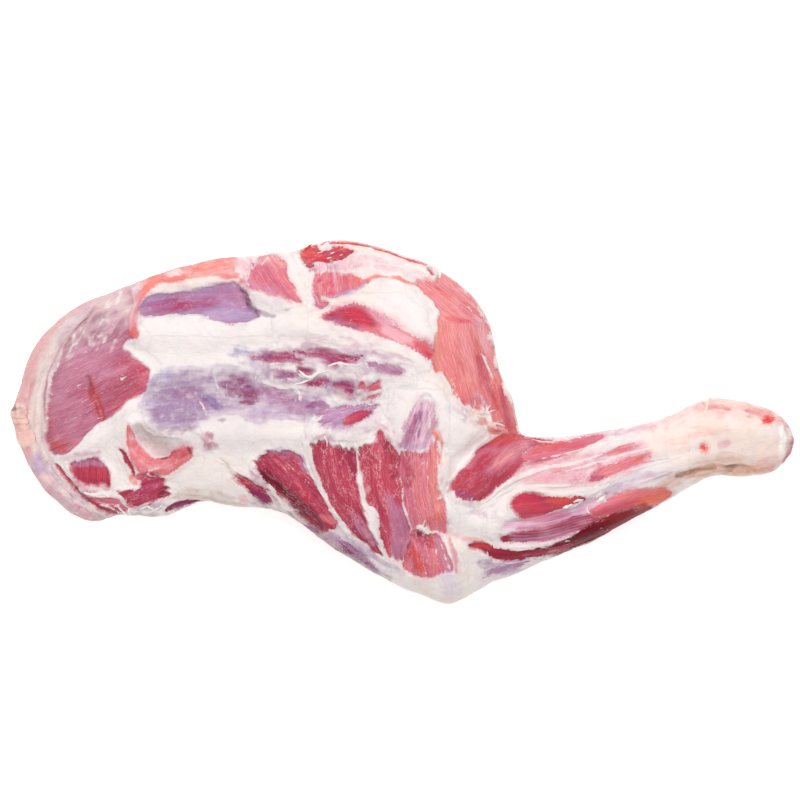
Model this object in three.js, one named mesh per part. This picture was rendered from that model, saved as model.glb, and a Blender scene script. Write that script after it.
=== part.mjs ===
// Raw lamb shoulder, bone in, with its shank: one solid piece of meat lying on its fat side.
// Millimetres, +Z up. +X runs from the blade edge to the knuckle and +Y to the neck side.
// The origin is under the middle of the joint, on the surface that it lies on.
//
// The solid is lofted from the blade edge to the knuckle, and each section runs between the neck side and the
// elbow side. The plan comes from two edge curves, the thickness from a few named heights, and the relief from
// strokes laid along the muscles, the fat folds and the seams between them.
import * as THREE from "three";

// ---- Driving sizes ----
const RINGS = 104; // sections from end to end
const TOP_STEPS = 40; // faces across the upper side of a section
const UNDER_STEPS = 16; // faces across the underside
const END_CROWDING = 0.3; // from 0, evenly spaced sections, to 1, close together at both ends

const TOP_ROUNDING = 0.8; // width of the rounded shoulder of a section, as a share of its height
const UNDER_ROUNDING = 0.5; // the same on the underside, which has sagged flat
const WAIST = 0.36; // where a section is widest, as a share of its height
const LEAST_HEIGHT = 9; // no part of the blade edge is thinner than this
const EDGE_BLEND = 3; // the lower, the softer the line where the roundings of both edges meet
const HEIGHT_REACH = 26; // how far one named height reaches before its neighbour takes over

// The plan as pairs of points, one on the neck side and one on the elbow side, from blade edge to knuckle.
const SECTIONS = [
  { neck: [-220, 7], elbow: [-220, 4] },
  { neck: [-216, 19], elbow: [-216, -10] },
  { neck: [-209, 39], elbow: [-209, -26] },
  { neck: [-199, 53], elbow: [-200, -39] },
  { neck: [-180, 67], elbow: [-186, -51] },
  { neck: [-164, 73], elbow: [-174, -55] },
  { neck: [-144, 81], elbow: [-158, -51] },
  { neck: [-120, 89], elbow: [-136, -52] },
  { neck: [-97, 93], elbow: [-114, -44] },
  { neck: [-72, 95], elbow: [-92, -47] },
  { neck: [-56, 97], elbow: [-73, -48] },
  { neck: [-49, 100], elbow: [-60, -54] },
  { neck: [-30, 102], elbow: [-42, -67] },
  { neck: [-10, 97], elbow: [-24, -79] },
  { neck: [15, 88], elbow: [-4, -90] },
  { neck: [34, 76], elbow: [12, -97] },
  { neck: [48, 56], elbow: [25, -102] },
  { neck: [53, 31], elbow: [37, -97] },
  { neck: [61, 13], elbow: [49, -89] },
  { neck: [64, -2], elbow: [57, -86] },
  { neck: [66, -7], elbow: [65, -83] },
  { neck: [82, -9], elbow: [83, -75] },
  { neck: [108, -6], elbow: [106, -66] },
  { neck: [134, -1], elbow: [130, -54] },
  { neck: [154, 5], elbow: [156, -38] },
  { neck: [172, 13], elbow: [176, -29] },
  { neck: [190, 12], elbow: [194, -30] },
  { neck: [208, 6], elbow: [208, -27] },
  { neck: [217, -1], elbow: [217, -19] },
  { neck: [220, -8], elbow: [220, -12] },
];

// How high the meat stands above the surface it lies on.
const HEIGHTS = [
  { name: "blade rim, upper", at: [-196, 40], height: 17 },
  { name: "blade rim", at: [-212, 2], height: 14 },
  { name: "blade rim, lower", at: [-192, -42], height: 15 },
  { name: "blade muscle", at: [-172, 12], height: 33 },
  { name: "blade, neck side", at: [-150, 62], height: 34 },
  { name: "blade, rib side", at: [-160, -34], height: 27 },
  { name: "blade centre", at: [-118, 18], height: 44 },
  { name: "neck muscle", at: [-100, 76], height: 42 },
  { name: "rib side", at: [-95, -32], height: 38 },
  { name: "middle", at: [-60, 12], height: 53 },
  { name: "neck end", at: [-42, 78], height: 56 },
  { name: "triceps start", at: [-55, -32], height: 46 },
  { name: "shoulder joint", at: [-5, 38], height: 64 },
  { name: "brisket muscle", at: [32, 44], height: 64 },
  { name: "joint capsule", at: [14, -4], height: 60 },
  { name: "triceps", at: [-14, -46], height: 54 },
  { name: "triceps end", at: [0, -76], height: 42 },
  { name: "elbow", at: [26, -86], height: 38 },
  { name: "shank head", at: [50, -34], height: 53 },
  { name: "shank, thick", at: [82, -42], height: 49 },
  { name: "shank, middle", at: [116, -31], height: 43 },
  { name: "shank, thin", at: [150, -17], height: 35 },
  { name: "knuckle", at: [186, -9], height: 40 },
  { name: "knuckle end", at: [213, -11], height: 32 },
];

// Relief of the upper side. Each stroke follows a muscle, a fold or a seam, through points of x, y and half
// width, and raises or lowers the surface by its rise. A firm one has a marked border, a soft one fades out.
const FIRM = 1.4;
const SOFT = 2;

const MUSCLES = [
  {
    name: "blade muscle",
    path: [[-190, -6, 9], [-186, 8, 14], [-178, 24, 19], [-164, 28, 17], [-150, 26, 9]],
    rise: 6,
  },
  { name: "blade muscle, upper part", path: [[-182, 36, 16], [-166, 50, 14], [-158, 62, 9]], rise: 3 },
  { name: "rib flap, outer", path: [[-190, -27, 6], [-178, -30, 8], [-168, -30, 7]], rise: 3 },
  { name: "rib flap, inner", path: [[-158, -41, 6], [-146, -38, 9], [-137, -40, 7]], rise: 3 },
  { name: "first neck muscle", path: [[-86, 88, 8], [-75, 84, 11], [-64, 76, 8]], rise: 3 },
  { name: "second neck muscle, edge", path: [[-54, 94, 7], [-44, 93, 8], [-32, 95, 7]], rise: 4 },
  { name: "second neck muscle", path: [[-46, 77, 8], [-36, 77, 9], [-23, 79, 7]], rise: 3 },
  { name: "biceps", path: [[-40, 60, 8], [-26, 60, 9], [-12, 54, 8], [4, 46, 7], [14, 41, 6]], rise: 4 },
  {
    name: "brisket muscle",
    path: [[15, 80, 7], [28, 70, 12], [37, 55, 16], [39, 35, 16], [40, 17, 12]],
    rise: 7,
  },
  { name: "brisket muscle, edge", path: [[48, 38, 7], [53, 18, 8], [56, 4, 7]], rise: 4 },
  { name: "shoulder tendon", path: [[3, -10, 7], [7, 0, 9], [13, 10, 8]], rise: 4 },
  { name: "triceps, outer", path: [[-76, -24, 8], [-65, -33, 12], [-53, -45, 12], [-42, -54, 9]], rise: 4 },
  {
    name: "triceps, second",
    path: [[-43, -16, 10], [-37, -28, 14], [-28, -46, 13], [-18, -64, 9]],
    rise: 4,
  },
  { name: "triceps, third", path: [[-14, -16, 10], [-11, -32, 12], [-7, -50, 12], [-5, -68, 10]], rise: 4 },
  { name: "triceps, inner", path: [[9, -20, 10], [12, -36, 13], [15, -52, 12]], rise: 4 },
  { name: "elbow muscle", path: [[10, -68, 9], [13, -80, 10]], rise: 4 },
  { name: "front shank muscle", path: [[36, -36, 9], [47, -25, 12], [62, -18, 10], [72, -16, 7]], rise: 7 },
  {
    name: "front shank muscle, lower",
    path: [[72, -17, 7], [88, -14, 8], [112, -8, 7], [140, -1, 6]],
    rise: 4,
  },
  { name: "middle shank muscle", path: [[66, -47, 8], [80, -47, 9], [96, -43, 7]], rise: 4 },
  { name: "pale shank muscle", path: [[80, -33, 7], [102, -31, 8], [124, -25, 7]], rise: 3 },
  { name: "back shank muscle", path: [[62, -60, 6], [80, -57, 7], [105, -51, 7], [130, -42, 7]], rise: 3 },
  {
    name: "hind shank muscle",
    path: [[42, -73, 7], [58, -74, 7], [86, -69, 7], [112, -60, 8], [136, -47, 7]],
    rise: 3,
  },
];

const FOLDS = [
  {
    name: "outer fat fold",
    path: [
      [-150, 78, 6], [-180, 64, 8], [-202, 44, 8], [-212, 20, 8],
      [-214, -5, 8], [-205, -29, 8], [-184, -50, 8],
    ],
    rise: 4,
  },
  { name: "fat below the blade muscle", path: [[-188, -19, 6], [-168, -8, 9], [-152, 6, 9]], rise: 3 },
  {
    name: "gristle hook",
    path: [[-154, -3, 7], [-153, -18, 8], [-145, -27, 8], [-132, -24, 8], [-121, -16, 6]],
    rise: 5,
  },
  {
    name: "cord of fat",
    path: [[-151, 51, 6], [-151, 64, 6], [-146, 74, 6], [-134, 80, 6], [-110, 83, 8], [-94, 86, 8]],
    rise: 4,
  },
  { name: "fat pad by the pocket", path: [[-84, 72, 8], [-72, 67, 9], [-58, 68, 7]], rise: 4 },
  { name: "neck fold", path: [[-30, 88, 9], [-8, 88, 10], [16, 82, 9]], rise: 4 },
  {
    name: "long fat ridge",
    path: [
      [-146, 50, 11], [-120, 50, 14], [-90, 52, 13], [-60, 55, 10],
      [-38, 49, 9], [-14, 42, 8], [10, 34, 8],
    ],
    rise: 5,
  },
  { name: "ridge over the blade", path: [[-98, 32, 7], [-70, 31, 8], [-48, 28, 7], [-14, 31, 8]], rise: 2 },
  {
    name: "rib side fat ridge",
    path: [[-150, 2, 8], [-128, -8, 11], [-100, -6, 11], [-70, -8, 11], [-46, -4, 9], [-25, -6, 9]],
    rise: 5,
  },
  { name: "pad over the joint", path: [[-22, 74, 9], [-2, 70, 13], [12, 62, 14], [16, 48, 9]], rise: 5 },
  { name: "fat under the brisket", path: [[20, 16, 11], [28, 2, 14], [38, -8, 12]], rise: 4 },
  { name: "rib edge fold", path: [[-72, -44, 8], [-36, -66, 9], [-4, -84, 9]], rise: 3 },
  { name: "fat over the elbow joint", path: [[26, -28, 10], [34, -52, 14], [46, -58, 12]], rise: 3 },
  { name: "point of the elbow", path: [[30, -70, 12], [27, -92, 14]], rise: 5 },
  { name: "shank tendon, front", path: [[128, -19, 6], [166, -8, 7]], rise: 2 },
  { name: "shank tendon, back", path: [[138, -28, 6], [170, -20, 7]], rise: 2 },
  { name: "knuckle head", path: [[176, 2, 12], [202, -3, 12]], rise: 4 },
  { name: "knuckle rim", path: [[209, 0, 8], [211, -20, 8]], rise: 3 },
];

const SEAMS = [
  {
    name: "band inside the fat fold",
    path: [[-170, 62, 7], [-191, 43, 8], [-203, 20, 9], [-205, -6, 9], [-198, -26, 8], [-180, -44, 8]],
    rise: -5,
  },
  { name: "split in the blade muscle", path: [[-177, 24, 6], [-172, 9, 6], [-167, 0, 6]], rise: -3 },
  { name: "hollow in the hook", path: [[-145, -8, 9], [-133, -13, 8]], rise: -4 },
  {
    name: "neck muscle pocket",
    path: [[-142, 65, 8], [-122, 68, 11], [-98, 69, 12], [-88, 64, 8]],
    rise: -7,
  },
  { name: "seam between neck muscles", path: [[-60, 96, 7], [-54, 74, 7]], rise: -3 },
  {
    name: "blade muscle hollow",
    path: [[-138, 12, 12], [-118, 12, 16], [-95, 18, 16], [-70, 12, 15], [-45, 14, 13], [-20, 10, 9]],
    rise: -5,
  },
  { name: "groove over the biceps", path: [[-46, 67, 6], [-24, 70, 6], [0, 57, 6]], rise: -2 },
  { name: "groove under the biceps", path: [[-44, 50, 6], [-16, 45, 6], [6, 38, 6]], rise: -2 },
  { name: "hollow beside the tendon", path: [[-12, 16, 8], [-9, 4, 8], [-6, -8, 7]], rise: -4 },
  {
    name: "seam of the brisket muscle",
    path: [[12, 73, 7], [19, 57, 6], [18, 43, 7], [23, 29, 7], [31, 12, 7], [44, 4, 7]],
    rise: -4,
  },
  { name: "first triceps seam", path: [[-54, -22, 8], [-42, -44, 8], [-26, -68, 8]], rise: -3 },
  { name: "second triceps seam", path: [[-25, -18, 8], [-19, -44, 8], [-13, -68, 8]], rise: -3 },
  { name: "third triceps seam", path: [[-2, -22, 8], [2, -44, 8], [5, -62, 8]], rise: -2 },
  { name: "seam over the elbow muscle", path: [[2, -61, 8], [26, -61, 8]], rise: -3 },
  {
    name: "seam before the shank",
    path: [[63, -4, 7], [46, -10, 8], [31, -23, 8], [26, -38, 7]],
    rise: -5,
  },
  { name: "front shank seam", path: [[42, -48, 7], [64, -35, 6], [90, -25, 6], [128, -14, 6]], rise: -3 },
  { name: "middle shank seam", path: [[62, -56, 6], [96, -50, 6], [122, -37, 6]], rise: -3 },
  { name: "back shank seam", path: [[48, -66, 6], [80, -64, 6], [118, -53, 6]], rise: -2 },
  { name: "knuckle hollow", path: [[168, -24, 8], [196, -24, 8]], rise: -4 },
];

const UNDER_HOLLOWS = [
  { name: "under the shank", path: [[84, -44, 26], [118, -30, 26], [146, -19, 24]], rise: 5 },
  { name: "under the blade rim", path: [[-214, 28, 18], [-216, 2, 18], [-206, -28, 18]], rise: 2 },
];

// ---- Curves and distances ----
const plan = ([x, y]) => new THREE.Vector2(x, y);
const edgeCurve = (side) => new THREE.SplineCurve(SECTIONS.map((section) => plan(section[side])));
const neckEdge = edgeCurve("neck");
const elbowEdge = edgeCurve("elbow");
const EDGE_SAMPLES = 400;
const neckLine = neckEdge.getPoints(EDGE_SAMPLES);
const elbowLine = elbowEdge.getPoints(EDGE_SAMPLES);

// How far a point is from a segment, and at what share of the segment it comes nearest.
function nearest(p, a, b) {
  const along = b.clone().sub(a);
  const share = THREE.MathUtils.clamp(p.clone().sub(a).dot(along) / along.lengthSq(), 0, 1);
  const distance = p.distanceTo(along.multiplyScalar(share).add(a));
  return { distance, share };
}

function distanceToLine(p, line) {
  let least = Infinity;
  for (let i = 1; i < line.length; i += 1) {
    least = Math.min(least, nearest(p, line[i - 1], line[i]).distance);
  }
  return least;
}

// About the smaller of the distances to the two edges, without a corner where they are equal.
function distanceToEdge(p) {
  const neck = distanceToLine(p, neckLine);
  const elbow = distanceToLine(p, elbowLine);
  if (neck === 0 || elbow === 0) return 0;
  return (neck ** -EDGE_BLEND + elbow ** -EDGE_BLEND) ** (-1 / EDGE_BLEND);
}

// How far a point is from a stroke's line, as a share of the half width there: 0 on the line, 1 on the border.
function shareAcross(p, path) {
  let least = Infinity;
  for (let i = 1; i < path.length; i += 1) {
    const { distance, share } = nearest(p, plan(path[i - 1]), plan(path[i]));
    least = Math.min(least, distance / THREE.MathUtils.lerp(path[i - 1][2], path[i][2], share));
  }
  return least;
}

function reliefOf(strokes, p, firmness) {
  let total = 0;
  for (const { path, rise } of strokes) {
    const across = shareAcross(p, path);
    if (across < 1) total += rise * (1 - across * across) ** firmness;
  }
  return total;
}

// ---- Heights ----
function standingHeight(p) {
  let sum = 0;
  let weights = 0;
  for (const { at, height } of HEIGHTS) {
    const away = p.distanceTo(plan(at)) / HEIGHT_REACH;
    const weight = 1 / (1 + away ** 4);
    sum += weight * height;
    weights += weight;
  }
  return sum / weights;
}

const relief = (p) => reliefOf(MUSCLES, p, FIRM) + reliefOf(FOLDS, p, SOFT) + reliefOf(SEAMS, p, SOFT);

// From 0 at the edge to 1 where the rounding ends.
const rounding = (distance, width) => Math.sqrt(1 - (1 - Math.min(distance / width, 1)) ** 2);

function upperHeight(p) {
  const height = standingHeight(p);
  const waist = WAIST * height;
  const inward = rounding(distanceToEdge(p), TOP_ROUNDING * height);
  const crest = Math.max(height + relief(p), LEAST_HEIGHT);
  return waist + (crest - waist) * inward;
}

function underHeight(p) {
  const height = standingHeight(p);
  const inward = rounding(distanceToEdge(p), UNDER_ROUNDING * height);
  return WAIST * height * (1 - inward) + reliefOf(UNDER_HOLLOWS, p, SOFT) * inward;
}

// ---- Loft ----
// Steps that crowd towards both ends of a stretch, where the surface turns fastest.
const eased = (share) => (1 - Math.cos(Math.PI * share)) / 2;
const crowded = (share) => THREE.MathUtils.lerp(share, eased(share), END_CROWDING);

// How far both edges together have run at each of their samples.
function lengthsRun() {
  const run = [0];
  for (let i = 1; i <= EDGE_SAMPLES; i += 1) {
    const step = neckLine[i].distanceTo(neckLine[i - 1]) + elbowLine[i].distanceTo(elbowLine[i - 1]);
    run.push(run[i - 1] + step);
  }
  return run;
}

// The places on the edge curves, from 0 to 1, of sections that divide the length of the joint.
function sectionPlaces() {
  const run = lengthsRun();
  return Array.from({ length: RINGS }, (_, i) => {
    const wanted = run.at(-1) * crowded((i + 1) / (RINGS + 1));
    const next = run.findIndex((length) => length > wanted);
    return (next - (run[next] - wanted) / (run[next] - run[next - 1])) / EDGE_SAMPLES;
  });
}

function ring(place) {
  const neck = neckEdge.getPoint(place);
  const elbow = elbowEdge.getPoint(place);
  const across = (steps, from, to, height) =>
    Array.from({ length: steps }, (_, i) => {
      const p = from.clone().lerp(to, eased(i / steps));
      return new THREE.Vector3(p.x, p.y, height(p));
    });
  return [
    ...across(TOP_STEPS, elbow, neck, upperHeight),
    ...across(UNDER_STEPS, neck, elbow, underHeight),
  ];
}

// The tip where the two edges meet, at one end of the joint.
function tip(place) {
  const p = neckEdge.getPoint(place).lerp(elbowEdge.getPoint(place), 0.5);
  return new THREE.Vector3(p.x, p.y, WAIST * standingHeight(p));
}

function loft(rings) {
  const around = rings[0].length;
  const corners = rings.flat();
  const first = corners.push(tip(0)) - 1;
  const last = corners.push(tip(1)) - 1;
  const faces = [];
  for (let i = 0; i < around; i += 1) {
    const next = (i + 1) % around;
    faces.push(first, i, next);
    for (let r = 1; r < rings.length; r += 1) {
      const here = r * around;
      const before = here - around;
      faces.push(before + i, here + next, before + next, before + i, here + i, here + next);
    }
    const end = (rings.length - 1) * around;
    faces.push(last, end + next, end + i);
  }
  const geometry = new THREE.BufferGeometry().setFromPoints(corners);
  geometry.setIndex(faces);
  geometry.computeVertexNormals();
  return geometry;
}

function lambShoulder() {
  const mesh = new THREE.Mesh(
    loft(sectionPlaces().map(ring)),
    new THREE.MeshStandardMaterial({ color: 0xc9787c, roughness: 0.42, metalness: 0 }),
  );
  mesh.name = "lamb_shoulder";
  return mesh;
}

const joint = new THREE.Group();
joint.add(lambShoulder());

export default joint;
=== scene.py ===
"""Raw lamb shoulder with its shank, lying inner side up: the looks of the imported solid.

The meat is a dense copy of the solid. Its muscles, fat and membranes are laid on it as shapes in plan, in
millimetres: each shape colours the skin, says which way the fibres run and raises or lowers the surface.
"""

import math

import bmesh
import bpy
import numpy as np
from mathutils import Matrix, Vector


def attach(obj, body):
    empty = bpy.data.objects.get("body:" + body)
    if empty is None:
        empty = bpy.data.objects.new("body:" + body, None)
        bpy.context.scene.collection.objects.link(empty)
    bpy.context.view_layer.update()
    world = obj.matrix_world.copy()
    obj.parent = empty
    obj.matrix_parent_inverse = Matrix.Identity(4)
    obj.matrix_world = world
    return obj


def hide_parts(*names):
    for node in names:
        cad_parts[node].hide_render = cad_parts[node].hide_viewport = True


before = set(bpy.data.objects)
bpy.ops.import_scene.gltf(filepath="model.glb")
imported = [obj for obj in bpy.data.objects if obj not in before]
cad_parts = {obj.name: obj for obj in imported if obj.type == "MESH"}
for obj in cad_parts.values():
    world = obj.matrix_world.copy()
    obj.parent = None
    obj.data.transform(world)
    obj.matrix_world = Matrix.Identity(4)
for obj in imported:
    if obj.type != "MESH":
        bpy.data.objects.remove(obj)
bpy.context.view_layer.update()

MM = 0.001
NODE = "lamb_shoulder"
LEVELS = 3  # subdivisions of the solid's faces

# ---- The picture, seen from straight above ----
VIEW_WIDTH = 0.450  # what the picture is wide, at the height of the joint's outline
VIEW_CENTRE = (-0.0014, 0.0129)
OUTLINE_HEIGHT = 0.018
LENS = 200.0
SENSOR = 36.0
VIEW_DISTANCE = VIEW_WIDTH * LENS / SENSOR  # from the camera to the outline's height


def as_seen(points):
    """Where points show in the picture, in mm at the outline's height. The shapes are placed by this."""
    nearer = VIEW_DISTANCE / (VIEW_DISTANCE + OUTLINE_HEIGHT - points[:, 2:] * MM)
    centre = np.array(VIEW_CENTRE) / MM
    return centre + (points[:, :2] - centre) * nearer


UNROLL = 60.0  # mm that the underside is laid out by


def unrolled(points, normals):
    """Where points show, with the sides and the underside laid outwards, so that nothing smears down them."""
    turn = np.clip(0.2 - normals[:, 2:], 0, 1.2) / 1.2
    sideways = normals[:, :2] / np.maximum(np.hypot(*normals[:, :2].T), 0.2)[:, None]
    return as_seen(points) + UNROLL * turn**2 * sideways


# ---- Colours, as they look in daylight ----
PALETTE = {
    "fat": "EDE4E2",
    "fat cream": "EDDFD7",
    "fat grey": "D6CACD",
    "fat shade": "B9A9B2",
    "pad grey": "D0C2C2",
    "rib beige": "C9B3A6",
    # fascia: the lower edge's grey-lilac membrane, darkened partly as painted shade
    "fascia": "B3A0A6",
    "rim pink": "DDA4A5",
    "rim band": "DFCDC9",
    "rim lilac": "C9B1B8",
    "veil": "D6B3B6",
    "peach": "F2CFBE",
    "salmon": "E98177",
    "coral": "DB777D",
    "coral pale": "F0ABAA",
    "coral warm": "EC8E76",
    "orange": "E8673C",
    "scarlet": "CF4540",
    "bright red": "D8324A",
    "ruby": "E8262E",
    "red": "BF4A5D",
    "rose": "CC6C80",
    "rose pale": "DD97A5",
    "rose lilac": "C48CA0",
    "crimson": "AC384F",
    "muscle": "B44257",
    "muscle deep": "9E324B",
    "magenta": "A63C68",
    "wine": "8A3054",
    "dark": "56101F",
    "deep red": "74131F",
    "blood": "8E2027",
    "blade rose": "BE6E84",
    "blade red": "B25A72",
    "umber": "6E4A44",
    "umber red": "7E3A38",
    "brisket": "DA7273",
    "brisket pale": "E18488",
    "neck rose": "D97680",
    "pink": "ECB4BE",
    "pink lilac": "DDB0C2",
    "satin": "B67A98",
    "mauve": "B57D9F",
    "mauve grey": "A87F8D",
    "plum": "94507F",
    "purple": "9A78A2",
    "violet": "74538F",
    "lilac": "A884AC",
    "lilac grey": "BBA3B9",
    "lavender": "C0A6C8",
    "blue lilac": "B4ADD0",
    "blue shade": "A8A6BC",
    "knuckle": "F2DBCF",
    "knuckle pink": "EAAFA8",
    # tan and brown are painted shade: on the knuckle's lower side and in the grooves along it
    "tan": "D69E80",
    "brown": "7E5A42",
    "cartilage": "FAF4EE",
    "web": "E4B6BA",
    "fell": "E6D3CB",
    "fell pink": "D9A39F",
}


def linear(name):
    """A colour of the palette in linear light."""
    code = PALETTE[name]
    shown = np.array([int(code[i : i + 2], 16) for i in (0, 2, 4)]) / 255
    return np.where(shown <= 0.04045, shown / 12.92, ((shown + 0.055) / 1.055) ** 2.4)


# ---- Smooth random fields ----
TABLE_BITS = 14
RANDOM_TABLE = np.random.default_rng(7).uniform(-1, 1, 2**TABLE_BITS)


def corner_value(cell, seed):
    """The random value of each lattice corner, from a hash of its place."""
    key = np.full(len(cell), seed * 668265263 + 12345, np.int64)
    for axis, prime in zip(cell.T, (374761393, 1103515245, 1274126177)):
        key = (key ^ (axis * prime)) & 0xFFFFFFFF
        key = ((key ^ (key >> 15)) * 2246822519) & 0xFFFFFFFF
    return RANDOM_TABLE[(key ^ (key >> 13)) & (2**TABLE_BITS - 1)]


def noise(points, size, seed):
    """Smooth random values, from -1 to 1, whose features have that size: one number, or one for each axis."""
    q = points / np.asarray(size, float)
    base = np.floor(q).astype(np.int64)
    t = q - base
    t = t * t * (3 - 2 * t)
    total = np.zeros(len(q))
    for corner in np.ndindex(*(2,) * q.shape[1]):
        share = np.prod(np.where(corner, t, 1 - t), axis=1)
        total += share * corner_value(base + np.array(corner), seed)
    return total


def rough(points, size, seed, octaves=3):
    """Noise with finer and finer noise on it."""
    size = np.asarray(size, float)
    layers = [noise(points, size / 2**i, seed + i) / 2**i for i in range(octaves)]
    return sum(layers) / (2 - 2 ** (1 - octaves))


def soft(value, low, high):
    """0 below low, 1 above high, and a smooth rise between them."""
    t = np.clip((value - low) / (high - low), 0, 1)
    return t * t * (3 - 2 * t)


def blend(a, b, share):
    """The mix of two colours, point by point."""
    return a + (b - a) * np.asarray(share)[:, None]


# ---- Curves in plan ----
CURVE_STEPS = 5


def curve_through(points, closed=False):
    """Points on a smooth curve through the given ones, which may carry a half width as a third number."""
    p = np.array(points, float)
    before, after = (p[-1:], p[:2]) if closed else (2 * p[:1] - p[1:2], 2 * p[-1:] - p[-2:-1])
    q = np.vstack([before, p, after])
    t = np.arange(CURVE_STEPS)[:, None] / CURVE_STEPS
    spans = [
        0.5 * (2 * b + (c - a) * t + (2 * a - 5 * b + 4 * c - d) * t**2 + (3 * b - a - 3 * c + d) * t**3)
        for a, b, c, d in zip(q, q[1:], q[2:], q[3:])
    ]
    return np.vstack(spans if closed else [*spans, p[-1:]])


def inside_outline(xy, outline):
    """How many mm each point lies inside a closed outline, negative outside."""
    line = curve_through(outline, closed=True)
    least = np.full(len(xy), np.inf)
    within = np.zeros(len(xy), bool)
    for a, b in zip(line, np.roll(line, -1, axis=0)):
        step = b - a
        share = np.clip(((xy - a) @ step) / (step @ step), 0, 1)
        least = np.minimum(least, np.hypot(*(xy - a - share[:, None] * step).T))
        level = (a[1] > xy[:, 1]) != (b[1] > xy[:, 1])
        rise = step[1] if step[1] else 1
        within ^= level & (xy[:, 0] < step[0] * (xy[:, 1] - a[1]) / rise + a[0])
    return np.where(within, least, -least)


def along_path(xy, path):
    """For each point: mm along a path, mm across it, and mm inside its border, if it has half widths."""
    line = curve_through(path)
    if line.shape[1] == 2:
        line = np.column_stack([line, np.zeros(len(line))])
    least = np.full(len(xy), np.inf)
    along, across, half = (np.zeros(len(xy)) for _ in range(3))
    run = 0.0
    for i, (a, b) in enumerate(zip(line, line[1:])):
        step = b[:2] - a[:2]
        length = math.hypot(*step)
        away = xy - a[:2]
        free = (away @ step) / length**2
        share = np.clip(free, 0, 1)
        distance = np.hypot(*(away - share[:, None] * step).T)
        nearer = distance < least
        low, high = (-np.inf if i == 0 else 0), (np.inf if i == len(line) - 2 else 1)
        along = np.where(nearer, run + np.clip(free, low, high) * length, along)
        across = np.where(nearer, (step[0] * away[:, 1] - step[1] * away[:, 0]) / length, across)
        half = np.where(nearer, a[2] + share * (b[2] - a[2]), half)
        least = np.minimum(least, distance)
        run += length
    return along, across, half - least


# ---- The skin: what covers each point of the meat ----
FAR = 8.0  # mm outside a border, past which it makes no difference
REACH = 7.0  # mm around a shape within which its points are worked on
WANDER, FRAY = 1.2, 0.5  # mm that the borders of shapes wander, slowly and finely
SHANK_START = (45, 75)  # mm along, between which the ragged shoulder passes into the smooth shank
SHANK_CALM = 0.65  # how much less the borders wander there
UPPER_SIDE = (-0.35, 0.1)  # how far up the skin faces where the inner side begins and where it is whole
OUTER_SIDE = (-0.8, -0.25)  # and where the outer side, which it lies on, is whole and where it ends
STEADY = 0.75  # share of a fibre's course that keeps clear of the borders' wander


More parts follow.
